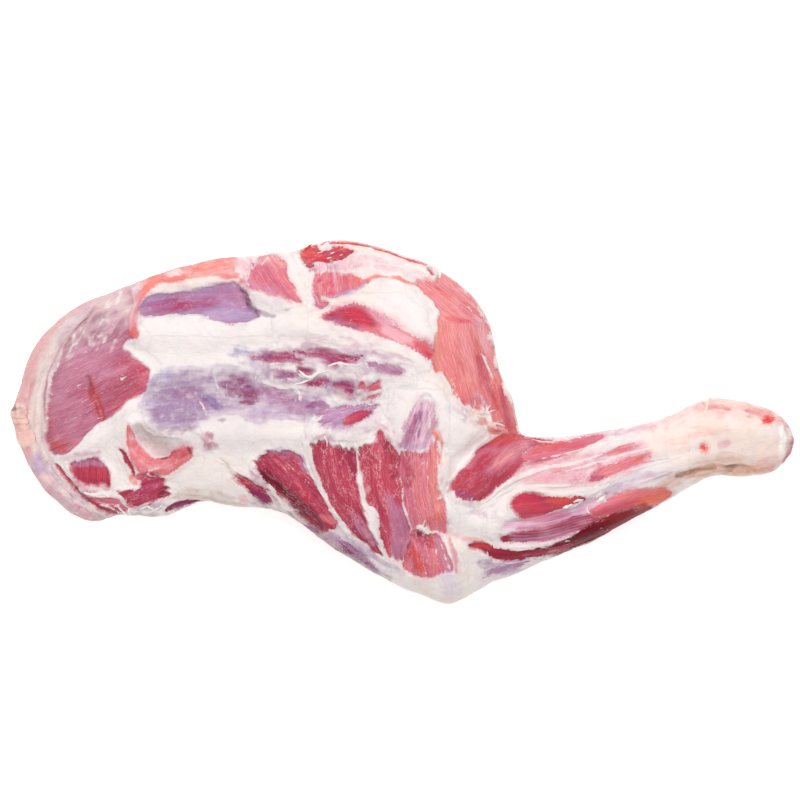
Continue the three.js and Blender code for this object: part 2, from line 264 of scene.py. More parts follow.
class Skin:
    """Colours, fibres and relief at each vertex of the meat, laid on shape by shape.

    A shape is a closed outline of (x, y) points or a stroke of (x, y, half width) points, in mm in plan.
    Each has a grain, the path that its fibres follow: a stroke's own line unless another is given.
    """

    def __init__(self, points, normals):
        count = len(points)
        self.points = points
        self.plan = unrolled(points, normals)
        wander = np.column_stack([rough(points, 9, 31), rough(points, 9, 41)])
        fray = np.column_stack([rough(points, 3, 51), rough(points, 3, 61)])
        calm = 1 - SHANK_CALM * soft(self.plan[:, :1], *SHANK_START)
        self.xy = self.plan + calm * (WANDER * wander + FRAY * fray)
        self.upper = soft(normals[:, 2], *UPPER_SIDE)
        self.outer = 1 - soft(normals[:, 2], *OUTER_SIDE)
        self.fat = np.tile(linear("fat"), (count, 1))
        self.lean = np.tile(linear("rose"), (count, 1))
        self.depth = np.full(count, -FAR)
        self.fibres = np.column_stack([self.plan, np.zeros(count)])
        self.web = np.zeros(count)
        self.film = np.tile(linear("lavender"), (count, 1))
        self.cover = np.zeros(count)
        self.strand = np.full(count, -FAR)
        self.relief = np.zeros(count)
        self.rumpled = np.zeros(count)
        self.shapes = 0
        self.random = np.random.default_rng(11)

    def near(self, shape, grain=None):
        """The points near a shape, their mm along and across its grain, and their mm inside its border."""
        self.shapes += 1
        corners = np.array(shape, float)
        margin = REACH + (corners[:, 2].max() if corners.shape[1] == 3 else 0)
        low, high = corners[:, :2].min(0) - margin, corners[:, :2].max(0) + margin
        at = np.flatnonzero(np.all((self.xy > low) & (self.xy < high), axis=1))
        xy = self.xy[at]
        if corners.shape[1] == 3:
            _, _, inside = along_path(xy, shape)
            line = grain or shape
        else:
            inside = inside_outline(xy, shape)
            line = grain or [shape[0], shape[len(shape) // 2]]
        along, across, _ = along_path(STEADY * self.plan[at] + (1 - STEADY) * xy, line)
        return at, np.column_stack([along, across]), inside

    def lay_lean(self, shape, first, second, grain=None, ragged=1.0, bundles=1.0, wraps=False, web=0.0,
                 blur=1.0):
        """A muscle: two colours mixed along its fibres, with a border frayed along them."""
        at, grained, inside = self.near(shape, grain)
        frayed = noise(grained, (7, 1.5), self.shapes) + 0.5 * noise(grained, (2.5, 1.1), self.shapes + 9)
        inside = (inside + ragged * frayed) / blur
        inside = inside - FAR * (self.outer[at] if wraps else 1 - self.upper[at])
        share = soft(rough(grained, (30, 5), self.shapes + 500), -0.35, 0.45)
        takes = (inside > 0) | (inside > self.depth[at])
        mine = at[takes]
        self.lean[mine] = blend(linear(first), linear(second), share)[takes]
        shift = np.array([self.shapes * 17.0, self.shapes * 11.0])
        self.fibres[mine] = np.column_stack([grained + shift, np.full(len(at), bundles)])[takes]
        self.web[mine] = web
        self.depth[mine] = np.minimum(inside[takes], FAR)

    def tint(self, layer, shape, colour, cover=1.0, blur=2.0, streaks=1.0, grain=None):
        """A patch of colour on the fat, lean or film, with a blurred border and streaks along its grain."""
        at, grained, inside = self.near(shape, grain)
        inside = inside + streaks * noise(grained, (9, 1.6), self.shapes)
        inside = inside + 0.5 * streaks * noise(grained, 2.5, 5)
        threads = soft(noise(grained, (7, 1.2), self.shapes + 300), 0.0, 0.6)
        clouds = soft(rough(self.points[at], 6, self.shapes + 700), -0.05, 0.5)
        share = cover * soft(inside, -blur / 2, blur / 2) * (1 - self.outer[at])
        share *= (1 - min(0.35, 0.2 * streaks) * threads) * (1 - min(0.4, 0.2 * streaks) * clouds)
        target = getattr(self, layer)
        target[at] = blend(target[at], linear(colour), share)
        if layer == "fat" and grain:
            follows = share > 0.3
            self.fibres[at[follows], :2] = grained[follows]
            self.fibres[at, 2] = np.maximum(self.fibres[at, 2], share * min(1, streaks / 3))
        return at, share

    def tints(self, layer, *patches):
        """Patches of colour one after another, each with what tint() takes after the layer."""
        for patch in patches:
            self.tint(layer, *patch)

    def lay_film(self, shape, colour, cover=0.7, blur=2.5, streaks=1.2, grain=None):
        """A membrane over whatever lies there, through which some of it shows."""
        at, share = self.tint("film", shape, colour, 1.0, blur, streaks, grain)
        share = share * cover
        self.cover[at] = self.cover[at] + share * (1 - self.cover[at])

    def lay_strand(self, path, ragged=0.25, whole=0.0):
        """A white thread or streak of connective tissue, more or less broken."""
        at, grained, inside = self.near(path)
        inside = inside + whole + ragged * noise(grained, (4, 0.8), self.shapes) - FAR * self.outer[at]
        self.strand[at] = np.maximum(self.strand[at], inside)

    def fringe(self, path, length, spacing=3.0):
        """Torn white shreds beside a path: to its left, or to its right where the length is negative."""
        line = curve_through(path)
        steps = np.diff(line, axis=0)
        run = np.concatenate([[0], np.cumsum(np.hypot(*steps.T))])
        for at in self.random.uniform(0, run[-1], round(run[-1] / spacing)):
            i = max(np.searchsorted(run, at) - 1, 0)
            x, y = line[i] + steps[i] * (at - run[i]) / (run[i + 1] - run[i])
            across = math.atan2(steps[i][1], steps[i][0]) + math.copysign(math.pi / 2, length)
            first = across + self.random.normal(0, 0.6)
            second = first + self.random.normal(0, 0.7)
            reach = 0.5 * abs(length) * (0.25 + self.random.exponential(0.4))
            middle = (x + reach * math.cos(first), y + reach * math.sin(first))
            end = (middle[0] + reach * math.cos(second), middle[1] + reach * math.sin(second))
            self.lay_strand([(x, y, 0.45), (*middle, 0.25), (*end, 0.0)], 0.3, 0.1)

    def speck(self, x, y, size, slant=0.5):
        """A small irregular flake of fat or sinew."""
        dx, dy = size * math.cos(slant), size * math.sin(slant)
        self.lay_strand([(x - dx, y - dy, 0.35 * size), (x + dx, y + dy, 0.2 * size)], 0.5)

    def rumple(self, shape, amount, blur=6.0):
        """A stretch of fat that is torn and wrinkled."""
        at, _, inside = self.near(shape)
        self.rumpled[at] = np.maximum(self.rumpled[at], amount * soft(inside, -blur / 2, blur / 2))

    def lift(self, shape, rise, blur=3.0, streaks=0.3):
        """Relief: a ridge, a pad or, with a negative rise, a groove or a cut."""
        at, grained, inside = self.near(shape)
        inside = inside + streaks * noise(grained, (8, 2), self.shapes)
        self.relief[at] += rise * soft(inside, -blur / 2, blur / 2) * self.upper[at]


# ---- The regions of the shoulder ----
# How the fat is drawn out, along the whole joint.
FLOW = [(-220, 10), (-150, 14), (-60, 22), (20, 8), (62, -32), (120, -22), (222, -8)]


def paint_fat(skin):
    """The fat that everything lies in: white, creamy or greyish in places, and the outer side's fell."""
    along, across, _ = along_path(skin.xy, FLOW)
    skin.fibres = np.column_stack([along, across, np.full(len(along), 0.3)])
    creamy = soft(rough(skin.points, 38, 101), 0.0, 0.5)
    greyish = soft(rough(skin.points, 24, 111), 0.15, 0.6)
    skin.fat = blend(skin.fat, linear("fat cream"), 0.7 * creamy)
    skin.fat = blend(skin.fat, linear("fat grey"), 0.3 * greyish)
    fell = blend(linear("fell"), linear("fell pink"), soft(rough(skin.points, (60, 26, 26), 121), -0.1, 0.6))
    shank = soft(skin.points[:, 0], 45, 80) * (1 - soft(skin.points[:, 0], 120, 165))
    fell = blend(fell, linear("rose"), 0.75 * shank * soft(rough(skin.points, (50, 9, 9), 126), -0.35, 0.3))
    skin.fat = blend(skin.fat, fell, 0.85 * (1 - skin.upper))


def paint_rim(skin):
    """The fold of outer fat round the blade edge, and the pale band inside it."""
    fold = [(-140, 83, 3), (-166, 74, 4), (-186, 63, 5), (-204, 45, 6), (-213, 18, 6), (-215, -8, 6),
            (-206, -32, 7), (-190, -50, 7), (-172, -56, 5)]
    band = [(-170, 66, 2), (-186, 54, 4), (-198, 37, 5), (-204, 16, 4.5), (-205, -8, 4.5), (-199, -26, 4),
            (-186, -40, 2.5)]
    skin.tints(
        "fat",
        (fold, "rim pink", 0.95, 4, 0.4),
        (band, "rim band", 0.95, 4, 0.3),
        ([(-195, 46, 2), (-203, 28, 2.5), (-206, 8, 2)], "fat cream", 0.5, 3, 0.3),
        ([(-204, -22, 4), (-194, -38, 5), (-180, -47, 5), (-168, -51, 4)], "rim lilac", 0.85, 5),
        ([(-206, -17, 1.5), (-204, -25, 2.5), (-200, -29, 1.5)], "lavender", 0.6, 3),
        ([(-203, -30, 1.5), (-199, -33, 2)], "peach", 0.7, 2.5),
        ([(-201, -37, 0.7), (-190, -43, 1), (-176, -50, 0.8)], "rose pale", 0.75, 1.2),
        ([(-192, -38, 0.5), (-182, -45, 0.8), (-168, -50, 0.6)], "fell", 0.9, 1.2),
    )
    scrap = [(-219, 6), (-216, 10), (-212, 10), (-210, 2), (-207, -9), (-211, -13), (-215, -9), (-217, -2)]
    skin.tints(
        "fat",
        (scrap, "peach", 0.95, 1),
        ([(-218, 2, 1), (-214, -5, 1.6), (-211, -11, 1)], "coral pale", 0.6, 2.5, 1),
        ([(-220, 8, 1.4), (-217.5, 8.5, 1.2)], "umber", 0.95, 1.2),
    )
    skin.rumple(scrap, 0.7, 3)
    skin.lift(scrap, 1.2, 2)
    skin.lift([(-212, 12, 0.8), (-209, 0, 0.8), (-206, -10, 0.8)], -0.6, 1.5)
    skin.lift([(-194, 50, 1.2), (-206, 28, 1.4), (-210, 4, 1.2), (-209, -16, 1.2)], -0.6, 3)
    skin.lift([(-202, -36, 0.7), (-188, -45, 0.9), (-172, -51, 0.6)], -0.8, 2)


BLADE_GRAIN = [(-202, -4), (-176, 8), (-146, 24)]


def paint_blade(skin):
    """The muscle over the end of the blade, with its red cut."""
    skin.tint("fat", [(-162, 74, 1), (-156, 77, 2), (-148, 80, 2.5)], "rim pink", 0.8, 4)
    skin.lay_lean(
        [(-199.5, 4), (-198, 18), (-195, 29), (-190, 41), (-184, 51), (-177, 60), (-169, 68), (-160, 73),
         (-153, 74), (-151, 66), (-153, 56), (-151, 49), (-156, 45), (-157, 41), (-151, 37), (-146, 33),
         (-142, 29), (-144, 22), (-147, 17), (-153, 14), (-158, 9), (-165, 3), (-172, -1), (-181, -10),
         (-189, -17), (-197, -17), (-200, -8)], "blade rose", "blade red", BLADE_GRAIN, 0.5, 1.0, web=0.4)
    skin.tints(
        "lean",
        ([(-160, 36, 4), (-152, 28, 6), (-156, 19, 6), (-166, 10, 4)], "crimson", 0.5, 8, 1, BLADE_GRAIN),
        ([(-190, 46, 3), (-178, 57, 7), (-162, 66, 8)], "veil", 0.8, 9, 1),
        ([(-147, 32, 3), (-145, 25, 3.5), (-150, 16, 3), (-160, 7, 2.5)], "bright red", 0.3, 6, 1),
        ([(-198, 10, 2), (-196, -6, 3), (-186, -12, 3)], "rose", 0.6, 5, 1, BLADE_GRAIN),
        ([(-175, 26, 1), (-173, 14, 2.2), (-169, 3, 1.8)], "scarlet", 0.6, 2.5, 1),
        ([(-177, 26, 0.5), (-174.5, 14, 1.0), (-171, 4, 0.5)], "dark", 0.4, 1.8),
        ([(-197, -11, 2), (-192, -14, 3)], "scarlet", 0.6, 2),
    )


def paint_blade_films(skin):
    """The silverskin over the blade's muscle and the thin skin above it, with painted highlights and shade on
    the veil's wet ripples.
    """
    skin.lay_film([(-194, 28, 4), (-190, 8, 9), (-184, 0, 8)], "rose lilac", 0.4, 12, 2, BLADE_GRAIN)
    skin.lay_film([(-186, 26, 7), (-172, 34, 5), (-160, 42, 3)], "rose lilac", 0.5, 10, 3, BLADE_GRAIN)
    ripples = [(-186, 42), (-176, 62)]
    skin.lay_film([(-197, 36), (-190, 52), (-178, 66), (-164, 76), (-149, 78), (-149, 56), (-156, 51),
                   (-168, 44), (-180, 39), (-190, 35)], "veil", 0.92, 9, 2, BLADE_GRAIN)
    skin.lay_film([(-168, 66, 3), (-158, 68, 4), (-152, 60, 2)], "rim band", 0.55, 6, 2, BLADE_GRAIN)
    # painted shade between the wet ripples of the veil
    for path in (
        [(-190, 42, 1), (-184, 47, 2.5), (-180, 50, 1.5)], [(-180, 44, 1), (-174, 48, 3), (-168, 54, 2)],
        [(-168, 45, 1), (-162, 50, 2.5), (-157, 56, 2)], [(-178, 55, 1), (-170, 60, 2), (-162, 62, 1)],
    ):
        skin.lay_film(path, "mauve grey", 0.6, 3, 2, ripples)
    skin.lay_film([(-172, 24, 1.5), (-165, 27.5, 2.6), (-158, 30, 1.5)], "rose pale", 0.6, 4, 2, BLADE_GRAIN)
    # painted highlights: short pale flecks in the fat's colour, where the wet ripples catch the light
    for path in (
        [(-177, 50, 0.6), (-175, 46, 1.1), (-172, 42, 0.6)],
        [(-169, 49, 0.7), (-167, 45, 1.3), (-164, 43, 0.7)], [(-184, 50, 0.6), (-183, 45, 0.9)],
        [(-187, 44, 0.5), (-187, 38, 0.8)], [(-181, 53, 0.4), (-178, 48, 0.8)],
        [(-170, 55, 0.4), (-166, 58, 0.9)], [(-161, 47, 0.4), (-158, 50, 0.8)],
        [(-165, 66, 0.5), (-160, 70, 1.2), (-156, 73, 0.8)],
    ):
        skin.lay_film(path, "fat", 0.5, 2.4, 2.5, ripples)


def paint_blade_threads(skin):
    """The flakes and pale fibre lines on the blade's muscle."""
    for x, y, size, slant in (
        (-159, 27, 1.6, 2.4), (-157, 25, 1.4, 0.6), (-152, 29, 0.7, 1.2), (-196, 28, 1.5, 1.3),
        (-197.5, 17, 1.0, 1.5), (-197, -2, 1.4, 2.2), (-188, -6, 0.9, 2.4), (-198, 4, 0.7, 1.6),
        (-188, 18, 0.8, 2.6), (-194, 33, 1.2, 1.2), (-155, 22, 0.5, 0.4), (-180, 3, 0.5, 0.5),
        (-184, 12, 0.5, 2.0), (-161, 24, 0.7, 0.2),
    ):
        skin.speck(x, y, size, slant)
    for row in range(13):
        low, start, end = -17 + 4.6 * row, -196 + 2.5 * (row % 3), -150 - 4 * (row * 5 % 4)
        rise = 0.5 * (end - start)
        skin.lay_strand([(start, low, 0), ((start + end) / 2, low + rise / 2, 0.16), (end, low + rise, 0)],
                        0.22)
    skin.tint("fat", [(-200.5, 0, 0.3), (-200, 18, 0.6), (-196.5, 34, 0.6), (-189, 47, 0.5), (-178, 60, 0.3)],
              "red", 0.6, 0.9, 0.2)
    skin.lift([(-177, 25, 1), (-173, 12, 1.6), (-169, 2, 1)], -1.2, 2)


def paint_pocket_edge(skin):
    """The salmon fat along the edge above the pocket."""
    skin.tints(
        "fat",
        ([(-144, 79), (-134, 86), (-120, 91), (-104, 95), (-93, 93), (-93, 84), (-87, 77), (-100, 80),
          (-124, 80)], "salmon", 0.95, 2.5),
        ([(-141, 80, 2), (-130, 84, 2.5), (-121, 87, 2)], "coral", 0.6, 3, 2),
        ([(-117, 88, 1.5), (-108, 90, 2), (-98, 89, 1.5)], "salmon", 0.6, 3, 2),
        ([(-104, 83, 1.2), (-96, 82, 2), (-90, 79, 2)], "coral", 0.6, 3, 1.5),
        ([(-133, 82, 0.8), (-127, 84, 1.3), (-124, 83, 0.8)], "fat", 0.85, 1.2, 1.4),
        ([(-116, 91, 0.6), (-109, 91, 1), (-104, 93, 0.6)], "fat", 0.6, 1.5, 1.4),
        ([(-148, 60, 1), (-147, 68, 1.4), (-142, 75, 2), (-128, 77.5, 2.2), (-108, 79.5, 2), (-92, 80, 1.2)],
         "fat cream", 0.95, 1.2, 0.3),
    )


def paint_pocket_muscle(skin):
    """The purple muscle in its pocket by the neck side, with painted shadow along the steep cut edge at its
    right end.
    """
    muscle = [(-148, 62), (-146, 68), (-141, 71.5), (-130, 73), (-118, 74.5), (-106, 77), (-97, 78.5),
              (-91, 77.5), (-87, 71), (-84, 65), (-80, 61.5), (-84, 58.5), (-90, 56.5), (-97, 56), (-104, 58),
              (-113, 61), (-126, 61.5), (-138, 60)]
    grain = [(-150, 63), (-120, 67), (-82, 66)]
    skin.lay_lean(muscle, "lilac", "mauve", grain, 0.8, 0.15, web=0.6, blur=1.6)
    skin.tints(
        "lean",
        ([(-146, 63, 2), (-143, 67, 2.5)], "mauve", 0.6, 5, 2),
        ([(-140, 65, 2.5), (-129, 66.5, 4), (-116, 66, 3.6), (-107, 68, 2.5)], "magenta", 0.72, 5, 2, grain),
        ([(-128, 66, 1), (-118, 65.5, 1.5)], "crimson", 0.5, 2, 1.5, grain),
        ([(-128, 72, 0.8), (-118, 72.5, 1.6), (-104, 74, 2.4), (-94, 75.5, 2)], "mauve", 0.7, 3, 1.5, grain),
        ([(-146, 68, 1.2), (-143, 70, 1.5)], "lavender", 0.5, 4, 1, grain),
        ([(-108, 61, 2.5), (-97, 62, 4), (-86, 61, 2)], "lavender", 0.75, 5, 1, grain),
        # painted shadow: the dark line along the steep cut edge at the pocket's right end
        ([(-92, 77, 0.5), (-88, 71, 0.9), (-85.5, 65, 0.9), (-81, 61, 0.4)], "dark", 0.7, 1.4, 0.8),
    )
    skin.speck(-97, 63.5, 1.6, 0.2)
    skin.speck(-89, 65.5, 1.2, 0.3)


def paint_pocket_cord(skin):
    """The coral cord round the pocket, and the pad of fat at its end."""
    cord = [(-151, 50, 2.4), (-152, 55, 1.8), (-151, 63, 1.5), (-148.5, 70, 1.7), (-144, 76, 1.7),
            (-137, 79.5, 1.6), (-124, 81, 1)]
    skin.lay_lean(cord, "coral", "salmon", None, 0.3, 0.3, web=0.4)
    skin.tint("lean", [(-152, 50, 1.6), (-149, 53, 2.2)], "scarlet", 0.55, 1.6)
    skin.tint("fat", [(-154, 50, 0.4), (-154.5, 56, 0.7), (-153, 63, 0.4)], "fat", 0.9, 0.8, 0.2)
    skin.lift(cord, 1.0, 2.2)
    skin.lift([(-95, 78, 1.5), (-90, 72, 2), (-87, 65, 1.5)], -1.2, 2.5)
    pad = [(-87, 75), (-82, 73), (-74, 70), (-66, 68), (-63, 64), (-70, 62), (-78, 61), (-83, 66)]
    skin.tints(
        "fat",
        (pad, "fat grey", 0.5, 4),
        ([(-88, 76, 0.8), (-85, 70, 1)], "peach", 0.6, 2),
    )
    skin.lift(pad, 1.2, 3)
    skin.tints(
        "fat",
        ([(-79, 62, 0.4), (-75, 60.5, 0.6), (-72, 60, 0.3)], "fat shade", 0.9, 1),
        ([(-67, 63.5, 0.3), (-62, 65, 0.5), (-60, 65, 0.3)], "fat shade", 0.9, 1),
    )


def paint_neck_first(skin):
    """The first muscle cut through along the neck side."""
    grain = [(-82, 96), (-72, 80), (-60, 66)]
    skin.tint("fat", [(-93, 90, 2), (-87, 86, 4), (-84, 78, 3)], "pink", 0.75, 3, 2, grain)
    skin.lay_lean(
        [(-88, 84), (-84, 90), (-80, 92), (-84, 78), (-87, 78)], "rose lilac", "pink", grain, 1.2, blur=2)
    skin.lay_lean(
        [(-83, 90), (-78, 94), (-71, 93.5), (-66, 90), (-64, 84), (-62, 78), (-58, 71), (-57, 68),
         (-62, 68.5), (-69, 71), (-78, 73), (-86, 76), (-87, 80), (-84, 84)], "neck rose", "rose", grain, 1.0,
        0.7, web=0.6, blur=1.5)
    skin.tints(
        "lean",
        ([(-76, 76, 2.5), (-68, 76, 3), (-62, 71, 2)], "rose", 0.75, 3, 1, grain),
        ([(-80, 91, 1.5), (-73, 92, 2), (-68, 88, 1.5)], "coral pale", 0.6, 3),
        ([(-60, 69, 1), (-57, 67, 1.5)], "rose", 0.8, 1.5),
    )
    for x, y in ((-83, 88), (-78, 90), (-75, 93), (-85, 82)):
        skin.speck(x, y, 1.6, 0.9)
    skin.lay_film([(-88, 78, 1.5), (-80, 76, 2), (-72, 74, 1.5)], "lavender", 0.4, 3, 2, grain)


def paint_neck_scarlet(skin):
    """The scarlet muscle at the top of the neck side."""
    scarlet = [(-58, 95), (-54, 98), (-51, 101.5), (-48, 98.5), (-44, 97.5), (-36, 98), (-28, 96), (-32, 93),
               (-38, 90.5), (-43, 89), (-48, 89.5), (-52, 87.5), (-56, 90)]
    skin.lay_lean(scarlet, "scarlet", "crimson", [(-57, 94), (-28, 94)], 1.0, 0.6, web=0.6)
    skin.tints(
        "lean",
        ([(-53, 94, 2.5), (-47, 94, 2.5), (-44, 91.5, 1.5)], "bright red", 0.4, 2.5, 1.5),
        ([(-55, 90, 1.5), (-50, 88.5, 1.5)], "crimson", 0.5, 2),
    )
    for x, y, size in ((-51, 98, 1.2), (-46, 96, 1.5), (-40, 93, 1.6), (-38, 96, 1.8), (-34, 95, 1.2)):
        skin.speck(x, y, size, 0.3)
    skin.lay_lean(
        [(-51, 86, 1), (-44, 87, 1.8), (-34, 88, 1.8), (-24, 88, 0.8)], "rose lilac", "pink",
        [(-40, 92), (-40, 80)], 1.2, blur=2)


def paint_neck_lower(skin):
    """The rose muscle below the scarlet one, across a band of fat."""
    lower = [(-50, 80), (-48, 84), (-40, 84.5), (-34, 83), (-29, 83), (-22, 81), (-19, 79), (-24, 76),
             (-31, 73.5), (-38, 71.5), (-44, 71), (-49, 73)]
    skin.lay_lean(lower, "rose", "neck rose", [(-40, 88), (-38, 68)], 0.6, 0.7, web=0.6)
    skin.tints(
        "lean",
        ([(-33, 80, 1.2), (-27, 80.5, 1.6), (-22, 80, 1.2)], "orange", 0.4, 3, 1.5),
        ([(-44, 75, 2), (-40, 77, 1.5)], "bright red", 0.5, 2, 2),
        ([(-48, 79, 1), (-46, 81, 0.8)], "crimson", 0.7, 1.5, 1),
    )
    skin.lay_lean([(-49, 71, 1.5), (-47, 67, 2), (-43, 67, 1)], "rose", "mauve", None, 0.8, blur=1.5)
    skin.lay_film([(-40, 71, 0.8), (-30, 73.5, 1.3), (-21, 77.5, 0.8)], "lavender", 0.8, 1.5, 0.6)
    skin.lay_film([(-47, 90, 0.4), (-45, 78, 0.6), (-44, 72, 0.3)], "pink", 0.6, 1, 0.8)
    skin.lay_film([(-40, 92, 0.5), (-38, 80, 0.8), (-37, 74, 0.4)], "fat", 0.6, 1, 0.8)


def paint_neck_edge(skin):
    """The red edge of the neck side and the fat beside it."""
    edge = [(-40, 100, 0.5), (-30, 101, 1.2), (-22, 100, 1.5), (-14, 97.5, 1.2), (-7, 95.5, 1), (2, 92, 0.8),
            (10, 89.5, 0.8), (14, 88, 0.4)]
    skin.lay_lean(edge, "scarlet", "coral", None, 0.6)
    skin.tint("lean", [(-29, 99, 0.5), (-22, 98.3, 0.9), (-15, 96.5, 0.6)], "crimson", 0.8, 1, 0.5)
    skin.lay_lean([(13, 87, 0.2), (15, 84.5, 0.5), (16, 82.5, 0.2)], "crimson", "crimson", None, 0.3)
    skin.tints(
        "fat",
        ([(-32, 90, 3), (-18, 91, 3), (-4, 88, 2.5)], "pink", 0.5, 4, 3),
        ([(-38, 96, 1.5), (-30, 94, 1.5)], "pink", 0.6, 2, 2),
        ([(0, 85, 2), (10, 81, 2)], "pink", 0.3, 4, 3),
        ([(-22, 79.5, 0.8), (-17, 81.5, 1.3), (-12, 82, 0.8), (-4, 80.5, 1.2), (2, 78, 1), (8, 76.5, 0.8)],
         "salmon", 0.9, 1.5),
    )
    skin.rumple([(-34, 92, 4), (-14, 91, 5), (8, 84, 4)], 0.5)
    skin.rumple([(-60, 94, 2), (-55, 74, 3)], 0.3)
    skin.lift([(-60, 94, 2), (-55, 74, 3)], 0.7, 3)
    skin.lift([(-22, 77, 1), (-5, 78.5, 1.5), (9, 74.5, 1)], 0.5, 2)
    skin.lift([(14, 82), (16, 87), (21, 85), (21, 80)], 0.5, 2.5)


def paint_hollow(skin):
    """The lilac hollow of the blade, with the dark flesh that shows through its membrane."""
    flow = [(-150, 8), (-110, 10), (-60, 8), (-40, 5)]
    hollow = [(-146, 8), (-144, 20), (-138, 28), (-128, 31), (-112, 30), (-96, 31), (-84, 27), (-74, 20),
              (-60, 19), (-46, 15), (-44, 6), (-50, 0), (-62, 2), (-78, 1), (-90, 4), (-102, 5), (-110, 3),
              (-119, -2), (-128, -4), (-138, -1)]
    skin.tints(
        "fat",
        (hollow, "lilac grey", 1.0, 7, 1.6, flow),
        ([(-140, 2), (-139, 14), (-130, 21), (-114, 22), (-108, 12), (-112, 1), (-126, -3)], "purple", 0.75,
         7, 1.2, flow),
        ([(-126, 17, 2), (-118, 16, 2.5), (-112, 10, 2)], "mauve", 0.6, 4, 2, flow),
        ([(-144, 10, 2), (-141, 22, 3), (-131, 27, 3)], "blue lilac", 0.45, 5, 2),
        ([(-131, 26, 1.5), (-124, 25, 1), (-120, 28, 1)], "violet", 0.35, 2, 2),
        ([(-106, 28, 1), (-108, 24, 1.5)], "violet", 0.35, 2, 2),
        ([(-112, 16, 0.8), (-107, 12, 2), (-102, 8, 1.5)], "violet", 0.75, 2),
        ([(-101, 22, 2), (-93, 21, 5), (-84, 16, 4.5), (-82, 13, 2)], "plum", 1.0, 5, 1.5, flow),
        ([(-99, 17, 0.6), (-94, 18, 1.5), (-86, 17, 2), (-82, 15, 1)], "wine", 0.6, 2.5, 1.5, flow),
        ([(-91, 11.5, 0.8), (-86, 11.3, 1.8), (-82, 12, 0.8)], "wine", 0.8, 1.8),
        ([(-96, 26, 1), (-91, 23, 1.5)], "wine", 0.4, 2, 1.5),
        ([(-78, 20, 2), (-70, 15, 4), (-58, 10, 4), (-48, 8, 3)], "mauve", 0.9, 6, 2, flow),
        ([(-66, 8, 2), (-56, 10, 3), (-48, 5, 2)], "purple", 0.6, 4, 3, flow),
        ([(-53, 9, 1), (-47, 10.5, 1.8), (-43, 9, 1)], "plum", 0.75, 2),
        ([(-90, 3, 1), (-76, 5, 2), (-64, 3, 1)], "lavender", 0.5, 4, 3, flow),
        ([(-103.5, 0.8, 0.6), (-101, 1.4, 1.1), (-99, 2, 0.5)], "fat shade", 0.95, 1),
    )
    for path in (
        [(-106, 26, 0.3), (-104, 22, 0.8), (-104, 18, 0.4)], [(-112, 8, 0.3), (-110, 4, 0.6)],
        [(-117, 17, 0.2), (-113, 11, 0.5), (-110, 6, 0.5)], [(-99, 22, 0.3), (-98, 16, 0.5)],
        [(-60, 19, 0.5), (-57, 16, 1.1), (-57, 12, 0.5)], [(-50, 6, 0.4), (-48, 1, 0.9), (-45, 4, 0.4)],
        [(-78, 23, 0.3), (-68, 20, 0.6), (-56, 20, 0.4)], [(-66, 12, 0.2), (-62, 14, 0.5)],
        [(-84, 22, 0.2), (-82, 28, 0.5)], [(-52, -1, 0.4), (-49, 1.5, 0.9), (-46, 3, 0.4)],
    ):
        skin.lay_strand(path, 0.5)
    skin.rumple([(-120, 12, 8), (-90, 16, 8), (-56, 10, 6)], 0.35)


def paint_middle_flesh(skin):
    """The streaks of flesh that show between the ridges of fat in the middle."""
    slope = [(-96, 44), (-50, 38), (0, 30), (24, 26)]
    skin.tints(
        "fat",
        ([(-92, 39, 2), (-70, 37, 4), (-40, 37, 5), (-14, 33, 4), (-2, 30, 2)], "lilac grey", 0.7, 6, 4,
         slope),
        ([(-54, 46, 1.5), (-34, 44, 2.5), (-14, 40, 2.5), (2, 35, 1.5)], "rose lilac", 0.45, 5, 4, slope),
        ([(-76, 28, 2), (-56, 25, 3), (-36, 22, 4), (-20, 20, 3)], "lilac grey", 0.75, 6, 4, slope),
        ([(-96, 41.5, 1.5), (-90, 40.5, 1.5), (-84, 38, 0.8)], "blue shade", 0.8, 3, 2),
        ([(-84, 31, 2), (-76, 26, 2)], "lavender", 0.6, 5, 3),
    )
    for path, core, share in (
        ([(-84, 36, 0.6), (-77, 37, 1.6), (-74, 37, 1.2)], "plum", 0.7),
        ([(-75, 36.5, 1), (-68, 37, 2.4), (-63, 37, 2), (-58, 35.5, 0.8)], "magenta", 0.9),
        ([(-60, 40, 0.7), (-51, 38.7, 1.2), (-44, 38, 2.4), (-38, 37, 3), (-30, 36.5, 2), (-22, 37.5, 0.8)],
         "magenta", 0.7), ([(-42, 37, 1), (-39, 34.5, 1.8), (-35, 35, 1)], "magenta", 0.6),
        ([(-18, 33, 0.6), (-9, 31, 1.6), (0, 29, 0.6)], "mauve", 0.8),
        ([(-12, 31, 0.3), (-7, 30, 0.7), (-1, 28, 0.3)], "plum", 0.6),
        ([(-71, 28, 0.5), (-65, 27.5, 1.1), (-59, 27.5, 0.5)], "plum", 0.8),
        ([(-58, 30.5, 0.4), (-54.5, 29.3, 1.3), (-51, 28, 0.5)], "wine", 0.95),
        ([(-52, 21.8, 0.8), (-47, 23.3, 1.6), (-43, 23.5, 1.4)], "magenta", 0.65),
        ([(-38, 22, 1.2), (-32, 21, 2.4), (-29, 18, 2)], "magenta", 0.7),
    ):
        skin.tint("fat", [(x, y, 1.5 * half) for x, y, half in path], core, 0.8 * share, 4.0, 2.0, slope)
        skin.lay_lean(
            [(x, y, 0.7 * half) for x, y, half in path], core, "magenta", slope, 1.0, 0.5, web=1.0, blur=2.2)


